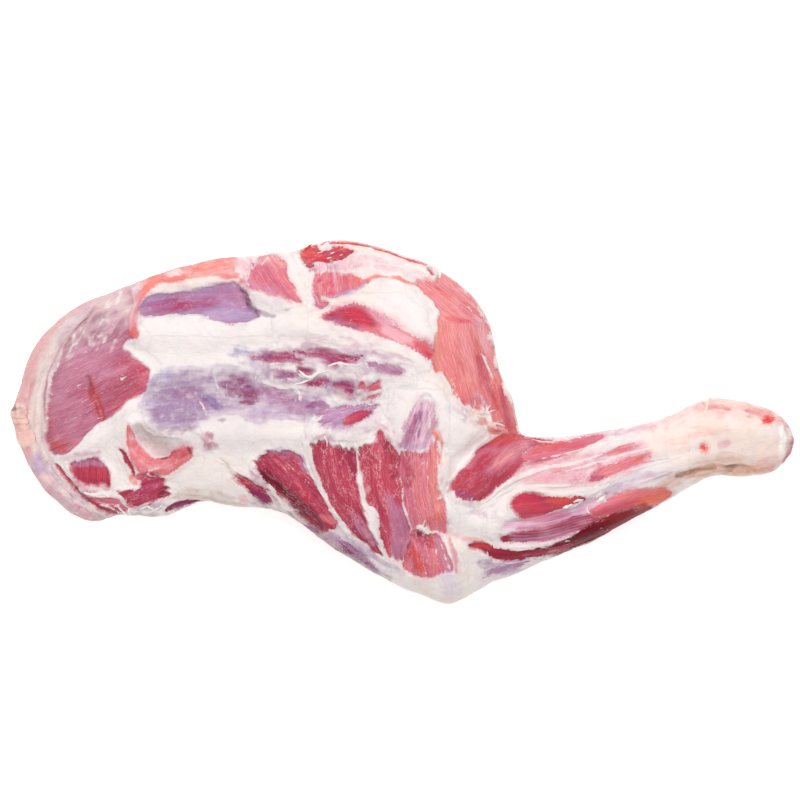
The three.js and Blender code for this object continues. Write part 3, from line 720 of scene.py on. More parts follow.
def paint_small_muscles(skin):
    """The small muscles at the end of the middle."""
    skin.tint("fat", [(-43.5, 23.5, 1.2), (-40, 23, 1.4)], "blue lilac", 0.8, 2)
    skin.lay_lean(
        [(-26, 18.5), (-24, 21), (-22, 24), (-20.5, 21), (-18, 22), (-15, 23), (-13, 24.5), (-13, 20.5),
         (-16, 18.5), (-20, 19)], "red", "rose", [(-26, 19), (-13, 23)], 0.8)
    skin.lay_lean([(-23, 12.7, 0.3), (-18, 14.5, 0.8), (-12.5, 16.3, 0.4)], "red", "rose", None, 0.3)
    skin.lay_lean(
        [(-47, 4), (-43, 7), (-36, 8), (-30, 10), (-20, 11), (-15, 10), (-17, 6), (-25, 0), (-33, -3),
         (-41, -3), (-46, -1)], "mauve", "lilac", [(-47, -1), (-14, 10)], 1.5, web=0.9, blur=3)
    skin.lay_lean(
        [(-34, -1), (-32, 3), (-27, 6.3), (-21, 7.5), (-17, 7), (-19, 4.5), (-24, 1), (-29, -1)], "crimson",
        "red", [(-34, 0), (-17, 7)], 0.4)


def paint_middle_threads(skin):
    """The white threads and torn fat in the middle."""
    for path in (
        [(-60, 28.5, 0.4), (-56, 26, 1), (-51, 26.8, 1), (-46, 29, 0.8), (-39, 29, 0.4)],
        [(-58, 22, 0.4), (-54, 24, 0.8), (-50, 26.5, 0.6)],
        [(-42, 31.8, 0.4), (-37, 33.8, 0.8), (-33, 32.8, 0.6), (-25, 33, 0.4), (-18, 34, 0.3)],
        [(-12, 12, 0.5), (-9, 6, 1), (-5, 0, 0.5)], [(-13, 19, 0.4), (-9.5, 15.5, 0.7)],
        [(-3, 33, 0.3), (0, 31, 0.6)], [(-22, 17, 0.3), (-15, 18, 0.8), (-9, 19, 0.4)],
        [(-27, 20, 0.4), (-26, 23, 0.6)], [(-39, 20, 0.3), (-39, 14, 0.6), (-35, 10, 0.4)],
        [(-20, 35, 0.2), (-14, 34.5, 0.6), (-9, 33, 0.2)], [(-80, 40, 0.2), (-70, 42, 0.5), (-58, 43, 0.3)],
        [(-54, 46, 0.2), (-48, 46.5, 0.5), (-40, 45, 0.2)],
        [(-74, 33, 0.3), (-66, 33.5, 0.6), (-58, 33, 0.4)], [(-44, -3, 0.4), (-40, 0, 0.5), (-38, 4, 0.3)],
    ):
        skin.lay_strand(path, 0.5)
    skin.rumple([(-76, 32, 8), (-40, 26, 12), (-14, 20, 10), (-8, 2, 8)], 0.7)
    skin.rumple([(-80, 50, 5), (-50, 50, 5), (-20, 44, 4)], 0.3)


def paint_biceps(skin):
    """The crimson muscle that tapers to a pink tail over the shoulder joint."""
    grain = [(-48, 60), (-24, 60), (0, 49), (18, 37)]
    skin.tint("fat", [(-42, 63, 1.5), (-28, 66, 2.5), (-12, 61, 2.5), (2, 52, 2)], "pink", 0.35, 4, 1)
    skin.lay_lean(
        [(-46, 59.5), (-40, 63), (-33, 65.5), (-25, 66), (-18, 63.5), (-12, 59.5), (-6, 55.5), (2, 51),
         (9, 47), (16, 43), (18, 37.5), (15, 36), (10, 39), (2, 43.5), (-9, 48), (-20, 51), (-29, 53.5),
         (-38, 56)], "neck rose", "rose", grain, 0.7, 0.3, web=0.2, blur=2.2)
    skin.tints(
        "lean",
        ([(-42, 60, 1.5), (-34, 60.5, 4), (-25, 59.5, 5), (-18, 56, 3)], "crimson", 1.0, 4, 0.5),
        ([(-32, 61.5, 1.5), (-26, 60, 3), (-20, 55, 2)], "bright red", 0.55, 5, 0.5),
        ([(-42, 58.5, 1.2), (-36, 56.5, 1.6), (-27, 53.8, 1.2)], "plum", 0.7, 2.5, 1.2, grain),
        ([(-9, 52, 2.4), (-1, 48, 2.8), (6, 45, 1.8)], "pink", 0.75, 4, 1, grain),
        ([(8, 44.5, 1.6), (12, 42, 2.2), (16, 38.5, 1.8)], "bright red", 0.7, 2.5, 1.5, grain),
    )
    skin.lay_film([(-18, 62.5, 1), (-12, 58, 1.6), (-7, 54.5, 1.2)], "pink", 0.6, 3, 1, grain)
    for x, y, size in (
        (-29.5, 57, 1.3), (-30, 59.5, 0.6), (8, 46, 0.9), (11, 43, 0.8), (6.5, 44, 0.7), (-26, 62, 0.5),
    ):
        skin.speck(x, y, size, 0.9)


def paint_brisket(skin):
    """The broad salmon muscle over the point of the shoulder."""
    upper = [(8, 82), (24, 70), (46, 52)]
    lower = [(27, 62), (30, 44), (36, 26), (42, 6)]
    skin.lay_lean(
        [(8, 77), (13, 79.5), (19, 79), (22, 85), (28, 80), (36, 73), (42, 66), (47, 57), (50, 44), (53, 32),
         (57, 20), (60, 12), (64, 0), (64, -7), (56, -5), (52, 0), (50, 4), (47, 9), (42, 8), (37, 8.5),
         (32, 11), (29, 16), (27, 24), (22, 28), (18, 30), (16, 35), (18, 42), (20, 50), (19, 56), (21, 62),
         (18, 68), (12, 73)], "brisket", "brisket pale", lower, 1.6, 0.7, web=0.5)
    skin.lay_lean(
        [(8, 77), (13, 79.5), (19, 79), (22, 85), (28, 80), (36, 73), (42, 66), (46, 58), (42, 55), (38, 57),
         (30, 57), (21, 58), (21, 62), (18, 68), (12, 73)], "neck rose", "brisket pale", upper, 0.6, web=0.6)
    skin.tints(
        "lean",
        ([(24, 59, 0.8), (34, 57.5, 1.6), (41, 56, 0.8)], "bright red", 0.5, 2, 0.6),
        ([(20, 76, 1.2), (30, 69, 1.5), (40, 62, 1)], "scarlet", 0.4, 3, 1, upper),
        ([(42, 56, 3), (45, 48, 3), (47, 42, 2)], "rose pale", 0.6, 4, 2, lower),
        ([(44, 36, 2), (46, 28, 3), (49, 18, 2.5), (52, 8, 2)], "red", 0.9, 4, 1.5, lower),
        ([(43, 34, 1.2), (44, 28, 1.6), (45, 22, 1)], "crimson", 0.4, 2, 1.5, lower),
        ([(52, 26, 0.6), (53, 16, 0.9), (54, 8, 0.5)], "scarlet", 0.6, 1.5, 0.6),
        ([(56, 20, 1.5), (58, 8, 2.5), (61, -2, 2.5)], "red", 0.85, 4, 0.6, lower),
        ([(21, 56, 1.5), (22, 44, 2.4), (20, 34, 2.4), (22, 30, 1.2)], "coral warm", 0.4, 5, 2.5, lower),
        ([(32, 14, 2), (37, 11, 2.5), (42, 12, 2)], "rose", 0.45, 4, 1.5, lower),
        ([(41, 16, 1.5), (46, 12, 1.5)], "lavender", 0.35, 3, 1.5, lower),
    )
    skin.lay_film([(36, 10, 1), (42, 9, 1.5), (47, 10, 1)], "pink", 0.6, 2, 1.5, lower)


def paint_brisket_edge(skin):
    """The threads on the brisket, and the torn fat where it meets the joint."""
    skin.lay_strand([(44, 38.5, 0.4), (47, 34, 0.9), (49, 30, 0.7), (51, 26, 0.3)])
    skin.lay_strand([(41, 67.5, 0.3), (44, 62, 0.6), (46.5, 56, 0.4)], 0.5)
    skin.speck(37.5, 64, 1.6, 2.3)
    skin.speck(39, 60, 1.1, 2.2)
    for path in (
        [(40, 14, 0.2), (41, 10, 0.5), (40, 6, 0.4)], [(44, 15, 0.2), (45.5, 10, 0.6), (44, 4, 0.5)],
        [(48, 12, 0.3), (48, 7, 0.6), (50, 2, 0.4)], [(42, 5, 0.3), (46, 3, 0.7), (50, 0, 0.4)],
    ):
        skin.lay_strand(path, 0.5)
    skin.tints(
        "fat",
        ([(36, 6, 2), (43, 3, 3), (52, -3, 2)], "peach", 0.7, 4, 3),
        ([(47, -3, 1), (50, -5, 1.6), (55, -5.5, 1.2)], "scarlet", 0.75, 1.8, 1.6),
        ([(43, 1, 1), (46, 0, 0.8)], "coral", 0.7, 1.5, 1.2),
        ([(26, 10, 1.5), (34, 4, 1.5), (40, 0, 1.2)], "lavender", 0.4, 3, 2),
    )
    skin.rumple([(34, 4, 5), (44, 0, 5), (54, -6, 4)], 0.7)
    skin.lift([(47, 34, 0.9), (51, 24, 1.3), (53, 12, 1)], -0.8, 2.5)


def paint_tendon(skin):
    """The mauve tendon that crosses the shoulder joint."""
    grain = [(4, -16), (7, -2), (12, 12)]
    skin.lay_lean(
        [(-1, -13), (1, -6), (4, 2), (7, 8), (10.5, 12.5), (14, 12), (18, 9), (19, 0), (18, -8), (13, -14),
         (7, -16), (2, -15.5)], "pink lilac", "rose lilac", grain, 1.2, 0.7, web=0.5, blur=2)
    skin.tints(
        "lean",
        ([(4, -9, 2), (6, -2, 2.6), (8.5, 5, 1.4)], "plum", 0.6, 2.5, 1.6, grain),
        ([(5, -5, 0.8), (6, 0, 1.1), (7, 4, 0.6)], "magenta", 0.7, 1.5, 1, grain),
        ([(9.5, -8, 0.6), (10, 2, 0.8), (11, 11, 0.4)], "plum", 0.7, 1.4, 0.8, grain),
        ([(13.5, -8, 0.5), (13, 0, 0.8), (13.5, 7, 0.4)], "mauve", 0.7, 1.4, 1, grain),
        ([(0, -12, 1.5), (7, -14.5, 1.5), (13, -12, 1.2)], "purple", 0.35, 2, 1.5),
    )
    skin.tint("fat", [(11, 15, 0.6), (15, 16, 0.7), (18, 12, 0.8), (19, 5, 0.5)], "fat shade", 0.6, 1.5, 0.8)
    skin.lay_strand([(14, -8, 0.3), (15.5, 0, 0.8), (15.5, 8, 0.4)], 0.4)
    skin.lay_strand([(7.5, -12, 0.2), (8.3, -2, 0.45), (9.3, 8, 0.2)], 0.3)


def paint_hook(skin):
    """The coral hook of gristle at the rib end of the blade, and the pad of fat that it holds."""
    pad = [(-151, -1), (-149, -8), (-145, -14), (-138, -18), (-130, -18.5), (-122, -14), (-119, -11),
           (-127, -9), (-134, -7), (-140, -4), (-146, 0)]
    skin.tints(
        "fat",
        (pad, "pad grey", 0.9, 2.5, 0.6),
        ([(-146, -10, 2), (-138, -15, 2.5), (-128, -16, 2)], "rim pink", 0.4, 4),
    )
    hook = [(-154, -1), (-155, -8), (-154.5, -16), (-151.5, -23), (-146, -28.5), (-139, -30), (-131, -28),
            (-124, -23), (-118.5, -19), (-118.5, -13.5), (-124, -13.5), (-129, -16), (-133, -19.5),
            (-140, -20), (-146, -16), (-150, -10), (-152, -4)]
    along_hook = [(-153, -2), (-152, -14), (-145, -23), (-135, -24), (-120, -16)]
    skin.lay_lean(hook, "coral", "coral", along_hook, 0.5, 0.3, web=1.0)
    for x, y, half in (
        (-152, -8, 1), (-152.5, -15, 1.2), (-149, -21, 1.6), (-143, -24.5, 1.5), (-138, -23.5, 1.2),
        (-133, -23, 1.5),
    ):
        skin.tint("lean", [(x - half, y, half), (x + half, y - 1, half)], "pink", 0.5, 2.5, 2.5, along_hook)
    skin.tints(
        "lean",
        ([(-150, -24, 1.2), (-143, -28, 1.6), (-137, -28, 1.2)], "rose", 0.6, 2, 1.5),
        ([(-134, -19.5, 0.8), (-128, -18, 2.2), (-121, -15.5, 2)], "red", 0.85, 1.6, 1.5),
        ([(-136, -19.5, 0.7), (-132.5, -19, 1)], "dark", 0.8, 1),
        ([(-120, -14, 1), (-119.2, -16, 0.7)], "dark", 0.7, 1),
    )
    for x, y in (
        (-148, -20), (-143, -24), (-147, -25), (-138, -25), (-151, -14), (-140, -22), (-145, -21),
        (-149, -23), (-141, -26), (-135, -26), (-133, -23), (-153, -9), (-150, -18), (-137, -22),
    ):
        skin.speck(x, y, 0.8, x)
    skin.lay_strand([(-147, 1, 0.5), (-143, -4, 0.9), (-138, -7, 0.6)], 0.6)
    skin.lay_strand([(-139, -5, 0.4), (-134, -7, 0.8), (-128, -8, 0.4)], 0.6)
    skin.lift(hook, 1.1, 2.4)
    skin.lift(pad, -0.9, 3)
    skin.rumple([(-134, -5, 3), (-122, -6, 5), (-112, -9, 6), (-104, -12, 4)], 1.0)
    skin.tint("fat", [(-128, -6, 3), (-116, -9, 4), (-108, -14, 3)], "fat shade", 0.4, 5, 3)


def paint_rib_corner(skin):
    """The small ragged muscles at the rib corner, below the end of the blade."""
    skin.tint("fat", [(-190, -20, 1), (-180, -19, 1.5), (-172, -18, 1)], "rose lilac", 0.6, 3, 2)
    upright = [(-175, -20), (-176, -36)]
    skin.lay_lean(
        [(-187, -23), (-181, -21.5), (-172, -21), (-167.5, -24), (-165, -29), (-164.5, -35), (-169, -34),
         (-177, -34), (-183, -31)], "red", "crimson", upright, 0.5, 0.6)
    skin.tints(
        "lean",
        ([(-185, -23, 1.2), (-177, -22.5, 1.6), (-170, -23, 1.2)], "mauve", 0.75, 2, 1.5, upright),
        ([(-177, -29, 1.6), (-170, -29, 1.8)], "scarlet", 0.35, 2.5, 1),
    )
    for x in (-179, -176, -172.5, -169.5):
        skin.tint("lean", [(x, -25, 0.3), (x + 0.4, -33, 0.5)], "dark", 0.22, 1.2, 0.4)
    skin.tints(
        "fat",
        ([(-184, -34, 1), (-175, -36, 1.5), (-165, -36.5, 1)], "rose pale", 0.8, 1.6, 1.5),
        ([(-183, -38, 1), (-176, -40, 1)], "mauve", 0.6, 1.6, 1.5),
    )
    skin.lay_lean(
        [(-194, -24, 0.3), (-189, -30, 0.8), (-184, -35, 1.0), (-180, -40, 0.7)], "red", "crimson", None, 0.8)
    skin.lay_lean(
        [(-160, -38), (-154, -38.5), (-147, -35), (-149, -29), (-142, -27), (-136, -29), (-132.5, -37),
         (-133, -42), (-141, -44.5), (-150, -47), (-156, -44)], "crimson", "rose",
        [(-160, -44), (-146, -38), (-134, -34)], 1.5, web=0.7)
    skin.tints(
        "lean",
        ([(-148, -40, 3), (-140, -34, 3), (-136, -38, 2)], "magenta", 0.4, 4, 1.5),
        ([(-137, -42, 1), (-134, -38, 1.2)], "dark", 0.5, 2, 1),
    )
    skin.lay_lean(
        [(-179, -42, 1), (-170, -44, 2), (-162, -45, 2.6), (-157, -48, 2), (-152, -47, 1)], "rose", "crimson",
        None, 1.0)
    skin.tint("lean", [(-178, -43, 0.5), (-170, -47, 0.8), (-160, -51, 0.6), (-152, -52, 0.4)], "deep red",
              0.6, 1, 0.4)
    skin.lay_lean(
        [(-177, -43.5, 0.5), (-166, -49, 0.8), (-158, -51, 0.7), (-152, -52, 0.5)], "crimson", "umber red",
        None, 0.3)
    skin.lay_strand([(-172, -44, 0.3), (-166, -46, 0.6), (-160, -46, 0.5)], 0.6)
    skin.lay_strand([(-160, -50, 0.4), (-155, -51, 0.8), (-153, -48.5, 0.8), (-156, -47, 0.5)], 0.3)
    skin.lay_lean(
        [(-133, -49, 0.5), (-127, -46.5, 1.5), (-120, -44.5, 1), (-114, -43.5, 0.4)], "wine", "crimson", None,
        1.0)
    skin.lay_lean(
        [(-159, -15, 0.4), (-156, -18, 1.0), (-153, -24, 1.1), (-151, -29, 0.7)], "crimson", "wine", None,
        0.7)
    skin.tints(
        "fat",
        ([(-152, -30, 1.8), (-150.5, -34, 1.6)], "coral warm", 0.9, 1.5),
        ([(-150, -47, 2), (-142, -48, 3), (-136, -47, 1.5)], "fat shade", 0.7, 3, 3),
    )
    skin.rumple([(-150, -47, 3), (-140, -48, 4), (-134, -46, 2)], 1.0)
    skin.rumple([(-164, -26, 4), (-158, -34, 4)], 0.3)
    skin.rumple([(-180, -37, 2), (-168, -39, 3), (-160, -41, 2)], 0.8)
    skin.lift([(-180, -37, 1.5), (-170, -39, 2.4), (-161, -41, 1.5)], 1.2, 2.5)


def paint_rib_side(skin):
    """The smooth creamy fat along the rib side, with the dark wedge between it and the triceps, and along the
    lower edge a darker beige band and grey-lilac fascia, both partly painted shade.
    """
    skin.tints(
        "fat",
        ([(-130, -26), (-112, -18), (-92, -18), (-84, -30), (-90, -40), (-112, -42), (-130, -38)],
         "fat cream", 0.5, 10),
        # partly painted shade: a darker beige band along the lower edge, turned from the light
        ([(-128, -40, 1.5), (-118, -40, 2.5), (-104, -43, 3), (-88, -46, 2)], "rib beige", 0.8, 5, 2),
    )
    for x, y in ((-113, -8.5), (-110, -6.5), (-107.5, -11), (-111, -12)):
        skin.tint("fat", [(x, y, 0.6), (x + 2, y - 1, 0.9)], "rose", 0.7, 1.5, 1.5)
    skin.tint("fat", [(-90, -41, 1.5), (-89, -44, 1.8)], "pink", 0.95, 2.5)
    skin.lay_strand([(-106, -20, 0.2), (-99, -24, 0.5), (-94, -29, 0.3)])
    skin.tint("fat", [(-104, -18, 0.4), (-96, -26, 0.6)], "rib beige", 0.7, 1.5)
    skin.lay_lean(
        [(-95, -30), (-89, -31), (-82, -34.5), (-76, -39), (-75, -44), (-80, -42.5), (-88, -36)], "crimson",
        "wine", [(-95, -30), (-75, -43)], 1.2, web=0.6, blur=1.6)
    skin.tints(
        "fat",
        ([(-84, -28, 1.5), (-78, -36, 2), (-72, -42, 1.5)], "mauve", 0.6, 3, 2),
        # the grey-lilac fascia along the lower edge, darkened partly as painted shade
        ([(-82, -44, 2), (-66, -50, 3), (-48, -61, 3), (-30, -74, 3), (-8, -87, 3)], "fascia", 0.65, 4, 2),
    )
    skin.rumple([(-82, -45, 3), (-66, -51, 4), (-48, -62, 4), (-30, -75, 4), (-8, -88, 4)], 1.0)
    skin.lift([(-98, -29, 1), (-86, -33, 2), (-75, -42, 1.5)], -1.0, 2.5)
    skin.tint("fat", [(-46, -57, 1.2), (-32, -65, 1.8), (-16, -75, 2), (0, -84, 1.5)], "lilac grey", 0.75, 3,
              2)
    skin.lay_lean(
        [(-40, -62.5, 0.4), (-31, -69, 1.0), (-24, -75, 1.0), (-14, -82, 0.4)], "plum", "mauve", None, 1.2,
        wraps=True, blur=3)
    skin.lay_lean(
        [(-36, -67, 0.3), (-28, -73.5, 0.7), (-20, -79, 0.3)], "wine", "plum", None, 1.0, wraps=True, blur=3)
    skin.lay_lean([(-62, -55, 0.4), (-54, -58, 0.9), (-48, -61, 0.5)], "plum", "mauve", None, 1.0, wraps=True)


def paint_triceps_first(skin):
    """The first head of the triceps, dark along its outer side: partly its own darker flesh and partly
    painted shade.
    """
    grain = [(-80, -20), (-60, -38), (-38, -58)]
    skin.lay_lean(
        [(-82, -23), (-79, -17.5), (-70, -15.5), (-60, -17), (-55, -24), (-50, -32), (-46, -38.5), (-41, -48),
         (-36, -55), (-42, -60), (-52, -56), (-61, -48), (-70, -40), (-77, -33)], "muscle", "muscle deep",
        grain, 1.0, wraps=True, web=0.5)
    skin.tints(
        "lean",
        # partly painted shade: the dark band along the outer, lower side, turned from the light
        ([(-78, -29, 2), (-68, -38, 3), (-56, -49, 3.2), (-46, -57, 2)], "dark", 0.85, 5, 1.5, grain),
        ([(-46, -52, 0.8), (-41, -55, 1.3), (-38, -56, 0.6)], "coral", 0.6, 1.5, 1),
        ([(-60, -34, 2), (-53, -42, 2)], "bright red", 0.3, 3, 1, grain),
    )
    skin.lay_film([(-76, -16.5, 0.8), (-67, -16, 1.6), (-60, -18, 1.6), (-55, -25, 0.8)], "lilac", 0.85, 2.5,
                  2)
    for shift in (0, 2.4, 4.6, 7.2, 9.6):
        skin.lay_strand([(-74 + shift, -18.5, 0), (-66 + shift, -25, 0.2), (-58 + shift, -33, 0.15),
                         (-53 + shift, -40, 0)], 0.2)
    skin.tint("fat", [(-57, -18, 0.5), (-52, -28, 0.6), (-47, -38, 0.5)], "lilac grey", 0.8, 1.5)


def paint_triceps_second(skin):
    """The second head of the triceps, with a membrane at its lower end."""
    grain = [(-40, -8), (-36, -30), (-24, -56), (-12, -74)]
    skin.lay_lean(
        [(-50.5, -13), (-47, -10), (-42, -9.5), (-39.5, -13), (-34, -14), (-29, -15), (-26.5, -17),
         (-25.5, -22), (-27, -31), (-24.5, -39), (-22.5, -46), (-20, -55), (-17, -63), (-11, -73),
         (-16, -71.5), (-23, -66), (-31, -58.5), (-37, -49), (-43, -38), (-48, -27), (-50, -19)], "muscle",
        "muscle deep", grain, 1.2, 0.8, web=0.9)
    skin.tint("lean", [(-34, -40, 2.5), (-28, -50, 2), (-24, -57, 1.5)], "crimson", 0.5, 4, 1.5, grain)
    skin.lay_film([(-28, -51, 1), (-22, -60, 2.2), (-16, -68, 1.6)], "rose lilac", 0.8, 2.5, 1.5, grain)
    skin.tint("fat", [(-42, -50, 1.2), (-34, -60, 2), (-24, -68, 1.6), (-14, -75, 1)], "lilac grey", 0.6, 2.5,
              1.5)


def paint_triceps_third(skin):
    """The third head of the triceps, satiny at its lower end."""
    grain = [(-14, -6), (-11, -34), (-5, -56), (0, -78)]
    skin.lay_lean(
        [(-24.5, -15), (-20, -12), (-15, -11.5), (-12.5, -5.5), (-8.5, -10.5), (-3.5, -15.5), (-1.5, -25),
         (-0.5, -35), (0.5, -45), (2.5, -53), (5, -60), (3, -68), (0, -77), (-6, -74.5), (-10, -69),
         (-12.5, -60), (-14, -50), (-19, -43), (-21, -33), (-24, -24)], "red", "muscle", grain, 1.2, 0.8,
        web=1.0)
    skin.tints(
        "lean",
        ([(-9, -11, 2), (-5, -20, 2.2), (-3, -30, 1.4)], "dark", 0.5, 4, 1.5, grain),
        ([(-18, -24, 2), (-15, -36, 2.5)], "bright red", 0.25, 4, 1, grain),
    )
    skin.lay_film([(-8, -42, 1.5), (-4, -52, 4), (-1, -62, 5), (-2, -73, 3)], "satin", 0.9, 3, 1.0, grain)


def paint_triceps_fourth(skin):
    """The pale fourth head of the triceps, beside the joint."""
    grain = [(7, -12), (8, -36), (13, -62)]
    skin.lay_lean(
        [(-1, -17), (5, -16.5), (11, -17), (15, -14), (18.5, -8.5), (19.5, -18), (19.5, -28), (20.5, -38),
         (23.5, -45), (24.5, -53), (23.5, -61), (19, -61), (14, -58), (8, -59.5), (4.5, -60), (2.5, -53),
         (0.5, -45), (-0.5, -35), (-1.5, -25)], "neck rose", "rose", grain, 1.0, 0.8, web=0.7)
    skin.tints(
        "lean",
        ([(14, -16, 2), (15, -28, 3), (18, -44, 4.5), (20, -56, 3.5)], "neck rose", 0.95, 5, 1, grain),
        ([(18, -14, 1.5), (18, -26, 2.5), (19, -38, 2.5), (21, -52, 2)], "coral warm", 0.4, 5, 1),
        ([(1, -20, 2), (4, -26, 2.5), (3, -34, 2)], "crimson", 0.8, 4, 1.5, grain),
        ([(4, -18, 1.2), (11, -19, 1.4)], "crimson", 0.6, 3, 1.5, grain),
        ([(16, -55, 1.5), (21, -52, 2)], "scarlet", 0.45, 3, 1.5),
    )
    for x in (13.5, 15.5, 17.5):
        skin.lay_strand([(x, -19, 0.1), (x + 0.5, -30, 0.3), (x + 1.5, -40, 0.1)], 0.3)


def paint_elbow_muscle(skin):
    """The muscle at the point of the elbow, with painted shadow under the torn fat at its top."""
    grain = [(10, -60), (14, -86)]
    skin.lay_lean(
        [(5, -61), (10, -60), (16, -61.5), (20, -63), (23.5, -70), (27, -77), (28, -83), (22, -84),
         (15, -86.5), (10, -86.5), (5, -83.5), (0, -79), (1, -72), (3.5, -66)], "rose", "neck rose", grain,
        1.0, 0.6, web=1.0)
    skin.tints(
        "lean",
        ([(2, -77, 2), (5, -69, 2), (8, -64, 2), (16, -68, 3)], "crimson", 0.75, 4, 1.5),
        ([(6, -70, 1.2), (8, -76, 2.2), (12, -82, 2.8)], "scarlet", 0.85, 4, 1.5),
        ([(8, -80, 0.8), (12, -83, 1.2), (11, -86, 0.8)], "orange", 0.3, 3, 1.5),
        # painted shadow: the dark band under the torn shred of fat at the muscle's top
        ([(6, -62.5, 1.3), (12, -62.5, 1.6), (17, -64, 1.2)], "dark", 0.7, 2, 1),
        ([(2, -72, 0.8), (4, -67, 1)], "dark", 0.6, 1.5, 1),
    )
    skin.lay_film([(19, -66, 1.2), (22, -73, 2), (25, -81, 2)], "rose lilac", 0.75, 2.5, 1.5, grain)
    for x, y, size in (
        (7, -71, 0.8), (10, -74, 0.9), (6, -78, 0.8), (12, -78, 0.7), (9, -81, 0.9), (-11, -44, 0.9),
        (13, -84, 0.7),
    ):
        skin.speck(x, y, size, 2.0)


def paint_triceps_seams(skin):
    """The white seams between the heads, and the torn fat above them."""
    for path in (
        [(-26, -17, 0.6), (-24.7, -26, 1), (-24, -35, 1.3), (-21, -44, 1.9), (-18, -53, 2.2), (-15, -62, 1.4),
         (-11, -71, 0.4)], [(-46, -38.5, 0.5), (-42.5, -43.5, 1.5), (-38, -51, 2), (-33, -58, 1.6),
                            (-29, -62, 0.6)], [(0, -40, 0.5), (1, -47, 0.9), (3, -54, 0.8), (5, -60, 0.5)],
        [(5, -60, 0.5), (10, -58.5, 1), (13, -61, 1), (18, -60.5, 0.8), (22, -62, 0.3)],
        [(-13.5, -15, 0.1), (-12.5, -22, 0.25), (-13, -30, 0.15)],
        [(-3, -20, 0.1), (-3.5, -32, 0.25), (-1, -44, 0.2)],
        [(21, -66, 0.2), (23.5, -74, 0.6), (26, -82, 0.5)],
        [(18, -67, 0.15), (19.5, -76, 0.4), (20, -83, 0.3)],
    ):
        skin.lay_strand(path, 0.4)
    skin.tints(
        "fat",
        ([(17, -4, 1), (20, -7, 1.4), (21, -14, 1.2), (20.5, -22, 0.8)], "coral warm", 0.9, 1.6, 1.5),
        ([(18.5, -6, 0.8), (20, -9, 0.8)], "scarlet", 0.5, 1.2, 1),
    )
    skin.rumple([(-52, -8, 3), (-34, -10, 4), (-18, -6, 4), (-2, -14, 3)], 1.0)
    skin.tints(
        "fat",
        ([(-16, -3, 1.5), (-10, -6, 2), (-5, -11, 1.5)], "rose lilac", 0.6, 3, 3),
        ([(-50, -9, 1), (-44, -7, 1.2), (-38, -9, 0.8)], "rose lilac", 0.5, 2, 2),
    )


def paint_elbow(skin):
    """The white fat over the elbow joint and its pale point."""
    skin.tints(
        "fat",
        ([(24, -84, 3), (28, -94, 5)], "lavender", 0.35, 6, 2),
        ([(30, -66, 5), (34, -76, 6), (34, -88, 4)], "fat cream", 0.6, 8),
        ([(25, -62, 1.5), (28, -72, 2), (30, -84, 1.5)], "pink", 0.6, 3, 3, [(25, -60), (31, -86)]),
        ([(27, -66, 0.6), (29, -75, 0.8), (30, -82, 0.5)], "rose", 0.6, 1.5, 1.5),
        ([(8, -89, 2.5), (20, -98, 3), (30, -99, 2)], "fell", 0.7, 5),
        ([(28, -62, 1), (38, -66, 2), (50, -66, 1.5)], "pink", 0.5, 4, 2),
        ([(34, -65, 0.6), (44, -65, 1)], "coral warm", 0.5, 2, 1.5),
        ([(24, -20, 1), (26, -30, 1.5), (25, -40, 1)], "peach", 0.5, 4, 2),
    )
    skin.rumple([(24, -14, 3), (25, -34, 3), (27, -54, 4)], 1.0)
    skin.rumple([(29, -62, 4), (34, -72, 5), (38, -84, 5)], 0.3)
    skin.rumple([(38, -48, 4), (50, -52, 5), (54, -60, 4)], 0.8)


SHANK_FLOW = [(40, -50), (80, -38), (120, -26), (160, -12)]


def paint_shank_fat(skin):
    """The pink silverskin that the muscles of the shank lie in."""
    skin.tints(
        "fat",
        ([(60, -26, 5), (84, -26, 9), (108, -25, 9), (134, -18, 6)], "pink", 0.9, 7, 1, SHANK_FLOW),
        ([(70, -34, 2.5), (90, -31, 5), (108, -29, 4)], "rose pale", 0.45, 5, 1, SHANK_FLOW),
        ([(104, -9, 1), (120, -7, 2), (140, -1, 1.5)], "pink lilac", 0.7, 3, 2),
    )


def paint_shank_head(skin):
    """The round muscle at the top of the shank, and the one beside it."""
    head = [(27.5, -36), (30, -31), (33, -26), (38, -21.5), (42, -16.5), (46, -12.5), (52, -8.5), (59, -6),
            (66, -6.5), (74, -8.5), (84, -10), (80, -14), (73, -18), (67, -23), (61, -30), (54, -36),
            (47, -41.5), (40, -44), (33, -42.5)]
    grain = [(30, -42), (46, -30), (64, -16), (84, -10)]
    skin.lay_lean(head, "red", "muscle", grain, 0.7, 0.35, web=0.4)
    skin.tints(
        "lean",
        ([(50, -10.5, 1.5), (58, -8.5, 2.4), (66, -8.5, 2)], "scarlet", 0.65, 3, 1),
        ([(31, -39, 1.5), (38, -42, 1.8)], "plum", 0.5, 3),
        ([(34, -34, 3), (40, -28, 3.5), (46, -20, 3)], "crimson", 0.6, 6, 1, grain),
        ([(44, -32, 3.5), (53, -30, 3.5)], "crimson", 0.6, 5, 1, grain),
    )
    skin.lay_film([(50, -26, 2), (58, -19, 4), (68, -14, 3)], "coral pale", 0.7, 7, 1, grain)
    skin.lay_film([(36, -24, 1), (44, -18, 1.6), (52, -14, 1)], "rose pale", 0.4, 3, 1.5, grain)
    skin.lay_lean(
        [(66, -19), (72, -14.5), (82, -11.5), (94, -9.5), (106, -8), (113, -6.5), (108, -11), (98, -16),
         (86, -19.5), (75, -22)], "neck rose", "rose", [(66, -20), (112, -8)], 0.8, 0.5, wraps=True, blur=2)
    skin.tint("lean", [(74, -15, 1.4), (86, -12.5, 2.2), (100, -12, 1.6)], "scarlet", 0.7, 2.5, 1.5)


